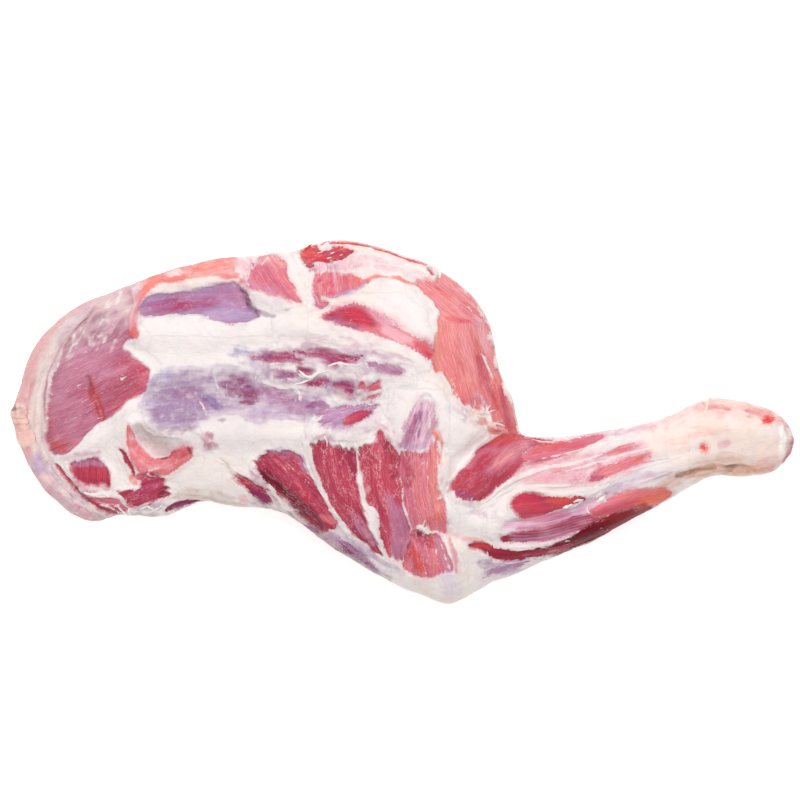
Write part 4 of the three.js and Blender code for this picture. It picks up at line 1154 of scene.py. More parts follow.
def paint_shank_front(skin):
    """The muscles along the front of the shank."""
    skin.lay_lean(
        [(61, -46), (63, -42), (67, -40), (73, -39.5), (81, -41), (90, -42), (100, -41.5), (103, -43),
         (97, -46.5), (88, -51), (80, -54), (72, -55), (66, -53)], "red", "crimson", [(60, -48), (102, -43)],
        0.6, 0.4)
    skin.tints(
        "lean",
        ([(64, -46, 2), (70, -44, 3), (78, -50, 3)], "bright red", 0.35, 4),
        ([(82, -44, 1.5), (91, -44.5, 2.2), (99, -43.5, 1.4)], "orange", 0.4, 5, 1),
    )
    skin.lay_lean(
        [(116, -18, 0.6), (124, -15, 1.2), (133, -12.8, 0.5)], "neck rose", "pink", None, 0.8, blur=1.5)
    skin.lay_lean(
        [(106, -32.5, 1), (112, -29, 2.4), (120, -25.5, 2.2), (130, -21.5, 1.8), (139, -19, 0.6)],
        "neck rose", "rose", None, 1.0, blur=1.5)
    skin.tints(
        "lean",
        ([(107, -32, 1.2), (113, -31, 1.5)], "magenta", 0.65, 1.6, 1),
        ([(130, -21, 0.8), (137, -19.3, 0.8)], "orange", 0.5, 1.6, 1),
    )
    skin.tints(
        "fat",
        ([(86, -28, 1), (100, -26, 1.5), (112, -25, 1)], "coral", 0.6, 2.5, 2, SHANK_FLOW),
        ([(118, -27, 0.4), (132, -23, 0.7), (150, -20, 0.3)], "mauve", 0.8, 1.2, 0.6),
        ([(92, -23.5, 0.5), (106, -20.5, 0.8), (116, -18, 0.5)], "mauve", 0.6, 1.2, 0.6),
    )


def paint_shank_back(skin):
    """The purple and dark red muscles along the back of the shank; the darkest, along the lower edge, is
    partly painted shade.
    """
    skin.lay_lean(
        [(59, -58, 1.5), (74, -57, 4), (92, -52, 4.5), (106, -47, 4), (114, -42, 2)], "pink lilac", "mauve",
        None, 0.6, 0.6, wraps=True, blur=2.5)
    skin.lay_lean(
        [(57, -65, 1.5), (76, -62.5, 4.2), (96, -57.5, 4.5), (114, -52, 3)], "muscle deep", "rose", None, 0.6,
        0.8, wraps=True, blur=1.8)
    skin.tints(
        "lean",
        ([(66, -55, 1), (80, -53, 1.8), (94, -50.5, 1)], "rose", 0.7, 2.5, 1),
        ([(68, -61, 0.8), (82, -59.5, 1.3), (96, -58, 1)], "crimson", 0.8, 2, 1),
        ([(64, -60, 0.8), (80, -57.5, 1.2), (98, -53, 1)], "magenta", 0.6, 2, 1),
        ([(62, -66.5, 1), (80, -64.5, 1.6), (98, -61, 1.6)], "mauve", 0.75, 2.5, 1),
    )
    skin.lay_lean(
        [(104, -50), (112, -45), (120, -40.5), (130, -37.5), (140, -36.5), (150, -37.5), (150, -42),
         (142, -47), (133, -49), (120, -52.5), (108, -53)], "neck rose", "brisket",
        [(104, -50), (126, -43), (148, -38)], 0.5, 0.5, wraps=True, blur=1.5)
    skin.tints(
        "lean",
        ([(108, -51.5, 2), (120, -48.5, 3), (132, -44, 2.4)], "red", 0.85, 5, 0.6, [(104, -50), (148, -38)]),
        ([(132, -45, 1.5), (140, -43, 3), (148, -40, 2.6)], "orange", 0.7, 6, 0.6),
    )
    # The deep red muscle along the lower edge and its darkest streak: partly its own deep red and partly
    # painted shade on the side turned from the light.
    skin.lay_lean(
        [(74, -73, 1.5), (92, -69, 3.5), (108, -62.5, 6), (122, -55.5, 5.5), (132, -51, 3.6), (139, -48, 2)],
        "deep red", "blood", None, 0.9, 0.6, wraps=True, blur=2)
    skin.tints(
        "lean",
        ([(90, -67.5, 1), (106, -62, 3), (120, -56.5, 2.6), (130, -52, 1.5)], "dark", 0.6, 5, 0.8),
        ([(118, -54, 0.8), (128, -50, 1.4), (137, -46.5, 1.2)], "blood", 0.8, 3, 0.8),
    )
    hind = [(37, -70), (41, -67), (46, -67.5), (53, -70), (62, -71.5), (74, -71), (88, -69.5), (96, -67.5),
            (90, -72), (76, -75), (62, -76.5), (50, -75.5), (45, -72.5)]
    skin.lay_lean(hind, "muscle deep", "blood", [(38, -70), (60, -74), (98, -69)], 0.5, 0.6, wraps=True)
    skin.tint("lean", [(39, -70, 1.2), (44, -69, 1.6), (49, -70, 1)], "scarlet", 0.6, 3)
    skin.lay_film([(66, -74.5, 0.3), (78, -73.5, 0.5), (88, -71.5, 0.3)], "pink", 0.6, 1, 0.5)
    skin.tint("fat", [(44, -80, 2), (54, -79, 2.5), (66, -77.5, 1)], "lilac grey", 0.9, 3, 2)
    skin.lay_lean(
        [(45, -86, 0.4), (52, -83, 1.5), (60, -80.5, 1.3), (70, -77, 0.5)], "mauve", "lilac", None, 1.2, 0.6,
        wraps=True, blur=2.5)
    skin.lay_film([(112, -43, 1.5), (124, -36, 2), (138, -31, 1.6), (152, -28, 1)], "pink lilac", 0.8, 3, 2,
                  SHANK_FLOW)
    skin.tint("fat", [(114, -38, 2), (130, -32, 2.5), (148, -28, 1.5)], "lavender", 0.55, 4, 2, SHANK_FLOW)


def paint_shank_threads(skin):
    """The tendons, threads and pale lines of the shank."""
    for path in (
        [(46, -44, 0.5), (58, -34, 1.2), (68, -29, 1.6), (80, -25.5, 1.5), (94, -23.5, 1.5), (112, -18.5, 1)],
        [(52, -42, 0.4), (64, -36.5, 1), (80, -35.5, 0.8), (96, -35, 0.5)],
        [(84, -29.5, 0.3), (100, -26, 0.8), (116, -21.5, 0.8), (134, -15.5, 0.4)],
        [(74, -21, 0.2), (90, -18, 0.5), (106, -13, 0.3)],
        [(70, -38.5, 0.3), (88, -39, 1), (104, -37.5, 1), (112, -36, 0.5)],
        [(108, -42.5, 0.6), (112, -40, 1.2), (114, -44, 1)],
        [(104, -40, 0.5), (110, -37, 1), (116, -34, 0.5)], [(92, -48, 0.6), (97, -46.5, 1), (101, -44, 0.6)],
        [(102, -45.5, 0.4), (104, -48.5, 0.5)], [(112, -35, 0.6), (116, -31.5, 1), (118, -34, 0.4)],
        [(48, -77, 0.4), (62, -78, 0.7), (78, -75, 0.4)], [(60, -70, 0.3), (76, -69, 0.5), (94, -66, 0.3)],
        [(68, -8, 0.2), (80, -11, 0.5), (90, -10, 0.2)], [(112, -13, 0.3), (124, -9, 0.5), (140, -5, 0.3)],
        [(126, -27, 0.4), (140, -23.5, 0.9), (156, -19, 0.4)],
        [(118, -20, 0.3), (134, -16.5, 0.7), (150, -12, 0.3)],
        [(132, -33.5, 0.3), (144, -29, 0.7), (156, -25, 0.3)],
    ):
        skin.lay_strand(path, 0.3, 0.05)
    for row in range(6):
        line = [(60, -57 - 1.7 * row, 0.1), (80, -56 - 1.6 * row, 0.5), (106, -49.5 - 1.5 * row, 0.1)]
        skin.lay_film(line, "pink", 0.62, 1.2, 0.3)
    for x, y in ((112, -59), (116, -57.5), (109, -60.5), (115, -60), (82, -13.3), (94, -12)):
        skin.speck(x, y, 0.5, 0.4)
    skin.lift([(48, -46, 1.5), (64, -33, 2.2), (90, -24.5, 2), (120, -17, 1.5)], 0.7, 3)


def paint_knuckle(skin):
    """The thin end of the shank and the knuckle: tendons and skin over bone, with its gristly end, and
    painted shade along its lower side and in the grooves there.
    """
    flow = [(120, -18), (160, -8), (200, -6)]
    skin.tints(
        "fat",
        ([(142, -14, 8), (162, -8, 16), (190, -8, 22), (218, -10, 12)], "knuckle", 0.95, 12, 3, flow),
        ([(130, -4, 1.5), (150, 2, 2), (166, 8, 2)], "knuckle pink", 0.6, 4, 2),
        ([(146, -3, 1), (158, 3, 2)], "rose pale", 0.35, 3, 2),
        ([(150, -13, 1), (166, -6, 2), (182, -2, 2)], "knuckle pink", 0.4, 5, 3, flow),
        ([(168, 8, 3), (186, 8, 4), (204, 4, 3)], "knuckle pink", 0.8, 6, 2),
        ([(172, 7.5, 0.8), (178, 8, 1), (184, 7, 0.6)], "bright red", 0.45, 1.5, 0.8),
        ([(194, 6, 1), (203, 3, 2.5), (212, 1, 2)], "coral", 0.6, 3, 1.5),
    )
    skin.lay_lean(
        [(203.5, 1, 1), (206, 1.8, 1.7), (207.5, 2.3, 0.9)], "ruby", "bright red", None, 0.6, 0, blur=2)
    skin.lay_lean([(169, -13.5, 0.8), (170, -14.5, 0.8)], "ruby", "bright red", None, 0.3, 0, blur=2)
    skin.tints(
        "fat",
        ([(179, -12, 1.4), (183, -11, 1.4)], "rose pale", 0.7, 3),
        # painted shade: the tan band along the lower side, turned from the light, and the brown lines in the
        # two grooves along it
        ([(144, -36, 2), (158, -29, 3), (176, -25, 3.5), (192, -26, 4), (206, -25, 2.5)], "tan", 0.85, 6, 2),
        ([(178, -19, 2), (190, -20, 2)], "tan", 0.45, 5, 2),
        ([(154, -29.5, 0.5), (164, -26.5, 1), (176, -25, 0.5)], "brown", 0.75, 1.6),
        ([(182, -25, 0.6), (190, -24, 1.3), (198, -27, 0.8)], "brown", 0.75, 1.8),
        ([(198, -24, 2), (207, -22, 2.5), (212, -21, 1.5)], "knuckle pink", 0.7, 3, 2),
        ([(212, -3, 1.3), (213.5, -10, 2), (212.5, -16, 1.3)], "cartilage", 1.0, 1.2, 0.5),
        ([(219.5, -8, 0.6), (218, -15, 1.2), (214, -21.5, 1)], "crimson", 0.9, 2.5, 0.3),
        ([(215.5, 2, 1.2), (218.5, -4, 1.5)], "knuckle pink", 0.7, 3),
    )
    skin.rumple([(204, -22, 4), (212, -18, 4), (216, -2, 3)], 0.7)
    skin.rumple([(160, -27, 2), (180, -24, 2)], 0.4)
    skin.lift([(212, 0, 1), (213.5, -10, 1.5), (212, -18, 1)], 0.8, 2)
    skin.lift([(216, 0, 0.8), (217.5, -10, 0.8), (215, -20, 0.8)], -0.7, 2)
    skin.lift([(154, -28.5, 0.8), (165, -26, 1.2), (176, -24.5, 0.8)], -0.8, 2.5)
    skin.lift([(182, -24.5, 0.8), (190, -23.5, 1.3), (198, -26.5, 0.8)], -0.8, 2.5)


FRINGES = (  # a path in plan, in mm, and how far the shreds reach to its left
    ([(-52, -12), (-44, -8), (-38, -11), (-30, -13.5), (-24, -13), (-16, -9), (-12, -5), (-8, -9), (-2, -14)],
     -5),
    ([(-81, -18), (-70, -14.5), (-60, -16)], -3),
    ([(19.5, -8), (20, -28), (21.5, -40), (25, -52), (25, -60)], -3.5),
    ([(20, 64), (18, 50), (16, 38), (18, 29), (27, 25), (30, 15), (37, 8)], 2.5),
    ([(35, 6), (42, 5), (48, 6), (53, -2)], 9),
    ([(34, -43), (46, -43), (56, -35), (64, -28)], 3),
    ([(62, -42), (59.5, -47), (64, -54)], 2.5),
    ([(-58, 89), (-44, 88.5), (-30, 93)], 3),
    ([(-49, 85), (-38, 85), (-24, 83)], -4),
    ([(-86, 86), (-87, 78), (-76, 72), (-62, 68)], 2.5),
    ([(-161, -38), (-148, -34), (-142, -26)], -3),
    ([(-28, 52.5), (-20, 50.5)], 3),
    ([(-74, 25), (-58, 23), (-40, 19)], 3),
    ([(-52, 0), (-40, -5), (-28, -3), (-14, 8)], 4),
    ([(0, -15), (6, -18), (14, -16)], -5),
    ([(38, -74), (44, -73), (52, -77)], 5),
)


def paint_fringes(skin):
    """The torn ends of membrane along the edges of the muscles."""
    for path, length in FRINGES:
        skin.fringe(path, length)


REGIONS = (  # in the order that they are laid
    paint_fat, paint_rim, paint_knuckle, paint_blade, paint_blade_films, paint_blade_threads,
    paint_pocket_edge, paint_pocket_muscle, paint_pocket_cord,
    paint_neck_first, paint_neck_scarlet, paint_neck_lower, paint_neck_edge,
    paint_hollow, paint_middle_flesh, paint_small_muscles, paint_middle_threads,
    paint_biceps, paint_brisket, paint_brisket_edge, paint_rib_side, paint_hook, paint_rib_corner,
    paint_triceps_first, paint_triceps_second, paint_triceps_third, paint_triceps_fourth,
    paint_elbow_muscle, paint_triceps_seams, paint_tendon, paint_elbow,
    paint_shank_fat, paint_shank_head, paint_shank_front, paint_shank_back, paint_shank_threads,
    paint_fringes,
)


# ---- Relief of the whole skin ----
def creases(skin):
    """Wrinkles and pits in the fat, from 0 to 1."""
    folds = 1 - np.abs(rough(skin.fibres[:, :2], (13, 4.5), 131, 4)) / 0.3
    pits = 1 - np.abs(rough(skin.points, 6, 141, 4)) / 0.25
    worn = np.clip(np.maximum(folds, 0.8 * pits), 0, 1) * soft(rough(skin.points, 12, 151), -0.3, 0.4)
    return worn * skin.rumpled


def surface_relief(skin, crease):
    """How far each point stands out, in mm: fat lies on the lean in a layer with a thick frayed edge."""
    lean = soft(skin.depth, -0.9, 0.5)
    edge = np.exp(-(((skin.depth + 1.6) / 1.1) ** 2))
    layer = 0.8 + 0.35 * noise(skin.points, 14, 201)
    lumps = 0.8 * rough(skin.points, 18, 211) + 0.6 * rough(skin.points, 5.5, 221, 4)
    grain = skin.fibres[:, :2]
    bundles = skin.fibres[:, 2] * (0.35 * noise(grain, (30, 3.4), 231) + 0.18 * noise(grain, (12, 1.5), 241))
    threads = 0.35 * soft(skin.strand, -0.6, 0.4)
    on_top = (1 - lean) * (layer + 0.45 * edge) * skin.upper
    return skin.relief + on_top + (1 - lean) * (lumps - 1.1 * crease) + lean * bundles + threads


# ---- The mesh ----
def link(piece):
    """Puts an object in the scene."""
    bpy.context.scene.collection.objects.link(piece)
    return piece


def apply_modifiers(piece):
    """Makes what the modifiers do part of the mesh."""
    bpy.context.view_layer.objects.active = piece
    for modifier in list(piece.modifiers):
        bpy.ops.object.modifier_apply(modifier=modifier.name)


def vertex_numbers(collection, field, width=3):
    """Numbers kept at each vertex, one row a vertex."""
    values = np.empty(len(collection) * width, np.float32)
    collection.foreach_get(field, values)
    return values.reshape(-1, width).astype(float)


def store(mesh, name, kind, values):
    """Keeps numbers at the vertices for the material to read."""
    attribute = mesh.attributes.new(name, kind, "POINT")
    field = {"FLOAT_COLOR": "color", "FLOAT_VECTOR": "vector", "FLOAT": "value"}[kind]
    attribute.data.foreach_set(field, np.ascontiguousarray(values, np.float32).ravel())


CALMING_PASSES = 12


def calm_normals(mesh):
    """The way that each vertex faces, evened out over its neighbours."""
    normals = vertex_numbers(mesh.vertex_normals, "vector")
    ends = np.empty(2 * len(mesh.edges), np.int32)
    mesh.edges.foreach_get("vertices", ends)
    first, second = ends.reshape(-1, 2).T
    for _ in range(CALMING_PASSES):
        total = normals.copy()
        np.add.at(total, first, normals[second])
        np.add.at(total, second, normals[first])
        normals = total / np.linalg.norm(total, axis=1)[:, None]
    return normals


def dense_copy(name):
    """A copy of the solid's mesh in four-sided faces, subdivided into a smooth dense one."""
    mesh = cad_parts[NODE].data.copy()
    mesh.name = name
    bm = bmesh.new()
    bm.from_mesh(mesh)
    bmesh.ops.remove_doubles(bm, verts=bm.verts, dist=0.001 * MM)
    bmesh.ops.join_triangles(
        bm, faces=bm.faces, angle_face_threshold=math.pi, angle_shape_threshold=math.pi,
        cmp_seam=False, cmp_sharp=False, cmp_uvs=False, cmp_vcols=False, cmp_materials=False,
    )
    bm.to_mesh(mesh)
    bm.free()
    mesh.materials.clear()
    store(mesh, "facing", "FLOAT_VECTOR", calm_normals(mesh))
    piece = link(bpy.data.objects.new(name, mesh))
    piece.modifiers.new("smooth", "SUBSURF").levels = LEVELS
    apply_modifiers(piece)
    return piece


def make_meat():
    """The whole joint, with its skin painted and its surface raised."""
    piece = dense_copy("shoulder_meat")
    mesh = piece.data
    places = vertex_numbers(mesh.vertices, "co")
    normals = vertex_numbers(mesh.vertex_normals, "vector")
    facing = mesh.attributes["facing"]
    skin = Skin(places / MM, vertex_numbers(facing.data, "vector"))
    mesh.attributes.remove(facing)
    for paint in REGIONS:
        paint(skin)
    crease = creases(skin)
    places += normals * surface_relief(skin, crease)[:, None] * MM
    places[:, 2] = np.maximum(places[:, 2], 0)
    mesh.vertices.foreach_set("co", places.astype(np.float32).ravel())
    store(mesh, "fat", "FLOAT_COLOR", np.column_stack([skin.fat, np.ones(len(places))]))
    store(mesh, "lean", "FLOAT_COLOR", np.column_stack([skin.lean, skin.depth]))
    store(mesh, "film", "FLOAT_COLOR", np.column_stack([skin.film, skin.cover]))
    store(mesh, "fibres", "FLOAT_VECTOR", skin.fibres)
    store(mesh, "strand", "FLOAT", skin.strand)
    store(mesh, "crease", "FLOAT", crease)
    store(mesh, "web", "FLOAT", skin.web)
    mesh.shade_smooth()
    mesh.update()
    return piece, make_shreds(skin, places)


# ---- Torn ends that stand off the skin ----
SECTION_SIDES = 8
SHRED_RISE = 0.6  # how much of its height a shred stands over the skin
SHRED_FLATNESS = 0.45  # a shred's thickness over its width
SHRED_REACH = 20  # mm around a shred's middle within which the skin under it is looked for
SHREDS = (  # colour, and points as seen: x, y, half width and height over the skin, in mm
    ("knuckle", ((170.5, 4.5, 0.7, 0), (171.3, 8, 1, 0.6), (172, 12, 1, 1.2), (174, 16.8, 0.7, 1))),
    ("knuckle pink", ((170.8, 9, 0.4, 0.2), (169, 10.5, 0.5, 0.6), (168.6, 12.5, 0.3, 0.6))),
    ("fat", ((44, 39, 0.3, 0.9), (46, 35.5, 0.9, 0.7), (48.5, 31, 0.8, 0.3), (51, 26.5, 0.3, 0))),
    ("fat", ((58.5, 18, 0.5, 0), (61.5, 15, 0.9, 0.8), (63.5, 11, 0.9, 1), (63.5, 7.5, 0.5, 0.6))),
    ("pink", ((62, 10.5, 0.5, 0), (65, 9, 0.7, 0.8), (65.5, 6, 0.5, 1))),
    ("fat", ((45, 6, 0.7, 0), (47.5, 8, 0.5, 0.4), (49.5, 10.2, 0.2, 0.6))),
    ("fat", ((46, 5.5, 0.6, 0), (49.5, 6.6, 0.5, 0.4), (52.5, 7.4, 0.15, 0.5))),
    ("fat", ((44, 6, 0.6, 0), (45, 8.4, 0.4, 0.3), (45.2, 10.6, 0.15, 0.5))),
    ("fat cream", ((40, 5, 0.9, 0), (43.5, 3.5, 0.9, 0.5), (47.5, 3.2, 0.5, 0.4))),
    ("coral pale", ((49, -2, 0.9, 0), (52.5, -2.6, 1.5, 0.3), (56, -3.6, 1.3, 0.3), (59.5, -5.2, 0.6, 0))),
    ("fat cream", ((51, 0, 0.7, 0), (54, -0.6, 1.1, 0.4), (57.5, -2, 0.7, 0.2))),
    ("scarlet", ((-54.5, 97, 1.8, -1), (-52.5, 100, 1.5, -0.4), (-51, 103, 0.4, 0))),
    ("coral", ((-46, 98.5, 0.8, -0.4), (-43, 100.3, 0.8, 0), (-39, 100.6, 0.3, 0))),
    ("fat", ((13, 88, 0.9, 0), (17, 86.5, 1.3, 0.6), (20, 84, 1.2, 0.8), (20.5, 81, 0.6, 0.3))),
    ("fat", ((8, -59.3, 0.6, 0), (10.5, -58, 1, 0.6), (13, -60.5, 1.1, 0.8), (15, -62.5, 0.4, 0.4))),
    ("fat", ((11, -59, 0.7, 0.3), (12, -56.5, 0.6, 0.8), (12.8, -54.5, 0.2, 0.9))),
    ("fat", ((-58.5, 29.8, 0.4, 0.2), (-55, 27, 1, 0.5), (-51.5, 26.2, 1, 0.7), (-47, 28.4, 0.8, 0.7),
             (-39, 29.8, 0.3, 0.2))),
    ("fat", ((-61.5, 22, 0.4, 0), (-54, 23.8, 0.8, 0.6), (-47.5, 27.8, 0.6, 0.8))),
    ("fat", ((-42, 31.8, 0.4, 0.2), (-36, 33.8, 0.8, 0.7), (-31, 32.9, 0.7, 0.7), (-24.5, 32.6, 0.3, 0.2))),
    ("fat", ((-21, 35.6, 0.2, 0.9), (-20.8, 34, 0.5, 0.5), (-19.5, 32.4, 0.6, 0))),
    ("fat", ((-14.8, 36.4, 0.2, 0.9), (-14.5, 34.8, 0.5, 0.5), (-13, 33, 0.6, 0))),
    ("fat", ((-60, 20, 0.4, 0.2), (-58, 17.5, 0.9, 0.6), (-58, 12.5, 0.4, 0.3))),
    ("fat", ((-10.5, 20, 0.4, 0.4), (-9.5, 17.8, 0.8, 0.6), (-8.5, 15.8, 0.3, 0.2))),
    ("fat", ((-45.5, 4, 0.3, 0.8), (-47.5, 1.5, 0.7, 0.6), (-51, 0.5, 0.6, 0))),
    ("fat", ((90, -47.8, 0.5, 0.2), (92.5, -46.8, 1, 0.7), (95.5, -45.6, 0.5, 0.5))),
    ("fat", ((96, -44.6, 0.4, 0.2), (99, -43.4, 0.9, 0.6), (102, -43.2, 0.4, 0.3))),
    ("fat", ((109, -44.5, 0.5, 0.2), (111.5, -43, 1.2, 0.8), (113.5, -41, 0.8, 0.7),
             (112.5, -39.4, 0.3, 0.3))),
    ("fat", ((104, -47, 0.3, 0.2), (104, -49.5, 0.6, 0.5), (105.5, -51, 0.3, 0.2))),
    ("fat", ((-160, -47, 0.6, 0), (-157, -49.8, 1, 0.6), (-153.5, -49.8, 1, 0.8), (-154, -47.4, 0.4, 0.6))),
    ("fat", ((-178, -37.5, 0.8, 0), (-173, -39.5, 1.3, 0.4), (-168, -39, 1, 0.3), (-164, -41, 0.5, 0))),
    ("fat", ((-148, -48, 0.7, 0), (-144, -46.6, 1.1, 0.4), (-140, -48, 0.6, 0.2))),
    ("fat", ((-142, -49.5, 0.6, 0), (-138, -47.5, 1, 0.4), (-135, -45, 0.5, 0.2))),
    ("fat", ((-44, -7, 0.6, 0), (-42.5, -10, 0.7, 0.4), (-42.5, -13.5, 0.2, 0.4))),
    ("fat", ((-27, -10, 0.6, 0), (-25.5, -13.5, 0.8, 0.4), (-24, -18.5, 0.3, 0.3))),
    ("coral warm", ((16.5, -4.5, 0.8, 0), (19, -6, 1.1, 0.4), (19.5, -10, 0.5, 0.2))),
)


def shred_points(shred, skin, places):
    """A shred's curve in metres, which follows the skin, with its half width as a fourth number."""
    curve = curve_through([point[:2] for point in shred])
    extra = np.column_stack([
        np.interp(np.linspace(0, len(shred) - 1, len(curve)), range(len(shred)),
                  [point[i] for point in shred])
        for i in (2, 3)
    ])
    nearby = np.flatnonzero(np.all(np.abs(skin.plan - curve.mean(0)) < SHRED_REACH,
                                   axis=1) & (skin.upper > 0.5))
    points = []
    for (x, y), (half, height) in zip(curve, extra):
        away = np.array((x, y)) - skin.plan[nearby]
        at = np.argmin(np.hypot(*away.T))
        under = places[nearby[at]]
        points.append((*(under[:2] + away[at] * MM), under[2] + SHRED_RISE * height * MM, half * MM))
    return np.array(points)


def strip(line):
    """The vertices and faces of a tapered, slightly lumpy strip along (x, y, z, half width) points."""
    vertices = []
    around = np.arange(SECTION_SIDES) * 2 * math.pi / SECTION_SIDES
    lumps = 0.85 + 0.45 * noise(line[:, :3] / MM, 0.9, 901)
    ways = np.gradient(line[:, :3], axis=0)
    for (x, y, z, half), way, lump in zip(line, ways, lumps):
        side = np.cross(way, (0, 0, 1))
        side /= np.linalg.norm(side)
        top = np.cross(side, way)
        top /= np.linalg.norm(top)
        ring = np.outer(np.cos(around), side) + SHRED_FLATNESS * np.outer(np.sin(around), top)
        vertices.extend(np.array((x, y, z)) + half * lump * ring)
    faces = []
    for start in range(0, len(vertices) - SECTION_SIDES, SECTION_SIDES):
        for j in range(SECTION_SIDES):
            a, b = start + j, start + (j + 1) % SECTION_SIDES
            faces.append((a, b, b + SECTION_SIDES, a + SECTION_SIDES))
    faces.append(tuple(range(SECTION_SIDES - 1, -1, -1)))
    faces.append(tuple(range(len(vertices) - SECTION_SIDES, len(vertices))))
    return vertices, faces


def make_shreds(skin, places):
    """The torn ends of membrane, fat and flesh that stand off the skin, as one mesh of tapered strips."""
    vertices, faces, tints = [], [], []
    for colour, shred in SHREDS:
        start = len(vertices)
        more_vertices, more_faces = strip(shred_points(shred, skin, places))
        vertices.extend(more_vertices)
        faces.extend(tuple(start + i for i in face) for face in more_faces)
        tints.extend([paint(colour)] * len(more_vertices))
    mesh = bpy.data.meshes.new("membrane_shreds")
    mesh.from_pydata(vertices, [], faces)
    store(mesh, "tint", "FLOAT_COLOR", tints)
    piece = link(bpy.data.objects.new("membrane_shreds", mesh))
    piece.modifiers.new("smooth", "SUBSURF").levels = 1
    apply_modifiers(piece)
    piece.data.shade_smooth()
    return piece


# ---- Materials ----
class Graph:
    """A short way to write the nodes of a material."""

    def __init__(self, name):
        self.material = bpy.data.materials.new(name)
        self.material.use_nodes = True
        self.tree = self.material.node_tree
        self.shader = self.tree.nodes["Principled BSDF"]

    def put(self, socket, value):
        """Links or sets a socket."""
        if isinstance(value, bpy.types.NodeSocket):
            self.tree.links.new(value, socket)
        else:
            socket.default_value = value

    def node(self, kind, inputs=None, **settings):
        """A new node with its inputs and settings."""
        made = self.tree.nodes.new(kind)
        for key, value in settings.items():
            setattr(made, key, value)
        for key, value in (inputs or {}).items():
            self.put(made.inputs[key], value)
        return made

    def attribute(self, name):
        return self.node("ShaderNodeAttribute", attribute_name=name)

    def math(self, operation, *values, clamp=False):
        return self.node("ShaderNodeMath", dict(enumerate(values)), operation=operation,
                         use_clamp=clamp).outputs[0]

    def ramp(self, value, low, high):
        """0 below low, 1 above high."""
        inputs = {"Value": value, "From Min": low, "From Max": high}
        return self.node("ShaderNodeMapRange", inputs, interpolation_type="SMOOTHSTEP").outputs[0]

    def mix(self, share, first, second):
        made = self.node("ShaderNodeMix", data_type="RGBA")
        for index, value in ((0, share), (6, first), (7, second)):
            self.put(made.inputs[index], value)
        return made.outputs[2]

    def product(self, first, *others):
        for other in others:
            first = self.math("MULTIPLY", first, other)
        return first

    def multiplied(self, first, second):
        """Two colours multiplied."""
        made = self.mix(1.0, first, second)
        made.node.blend_type = "MULTIPLY"
        made.node.clamp_result = True
        return made

    def vein(self, value, width):
        """Thin lines where a noise crosses its middle."""
        return self.ramp(self.math("ABSOLUTE", self.math("SUBTRACT", value, 0.5)), width, 0.15 * width)

    def noise(self, vector, scale, detail=3.0, roughness=0.55):
        inputs = {"Vector": vector, "Scale": scale, "Detail": detail, "Roughness": roughness}
        return self.node("ShaderNodeTexNoise", inputs).outputs[0]


def paint(name):
    """A colour of the palette as a material takes it."""
    return (*linear(name), 1)


WET_FLESH = {  # what all the flesh shares: light that sinks in a little, and a wet gloss
    "Subsurface Weight": 0.15,
    "Subsurface Radius": (1.0, 0.4, 0.3),
    "Subsurface Scale": 1.6 * MM,
    "Specular IOR Level": 0.0,
    "Coat Weight": 0.25,
    "Coat IOR": 1.35,
    "Coat Roughness": 0.12,
}
PALE_FLOOR = {
    "Base Color": (0.97, 0.97, 0.97, 1),
    "Roughness": 0.9,
    "Specular IOR Level": 0.1,
    "Emission Color": (1, 1, 1, 1),
    "Emission Strength": 0.38,
}


def set_inputs(node, values):
    """Sets a node's own sockets by name."""
    for name, value in values.items():
        node.inputs[name].default_value = value


DARK_FIBRE = (0.50, 0.30, 0.38, 1)  # what a muscle's colour is multiplied by, in its dark and light threads
# the light threads' colour: partly paler fibres and partly painted sheen along the wet grain
PALE_FIBRE_AND_SHEEN = (1.5, 2.6, 2.2, 1)
FAT_SHADE = (0.66, 0.48, 0.60, 1)  # and the fat's: painted shade in its creases and furrows, and darker clouds where it is tinted
SHRED_SHADE = (0.85, 0.66, 0.70, 1)


class MeatGraph(Graph):
    """The meat's material: what its vertices carry, and the noises that several parts of it use."""

    def __init__(self):
        super().__init__("raw_meat")
        self.place = self.node("ShaderNodeTexCoord").outputs["Object"]
        self.grain = self.attribute("fibres").outputs["Vector"]
        self.drawn = self.node("ShaderNodeSeparateXYZ", {"Vector": self.grain}).outputs["Z"]
        self.lean, self.film, self.fat = (self.attribute(name) for name in ("lean", "film", "fat"))
        self.threads = self.fibre_noise(8, 0.7, 4, 0.65)
        self.flecks = self.fibre_noise(3.5, 0.9, 2, 0.5)
        self.tissue = self.fibre_noise(7, 0.9, 4, 0.65)
        self.mottle = self.noise(self.place, 170, 4, 0.6)
        self.fray = self.product(self.math("SUBTRACT", self.noise(self.place, 900, 3, 0.6), 0.5), 2.4)

    def fibre_noise(self, along, across, detail, roughness):
        """Noise drawn out along the fibres, with features of those sizes in mm."""
        scaled = self.node("ShaderNodeVectorMath", {0: self.grain, 1: (1 / along, 1 / across, 0)},
                           operation="MULTIPLY")
        return self.noise(scaled.outputs[0], 1.0, detail, roughness)


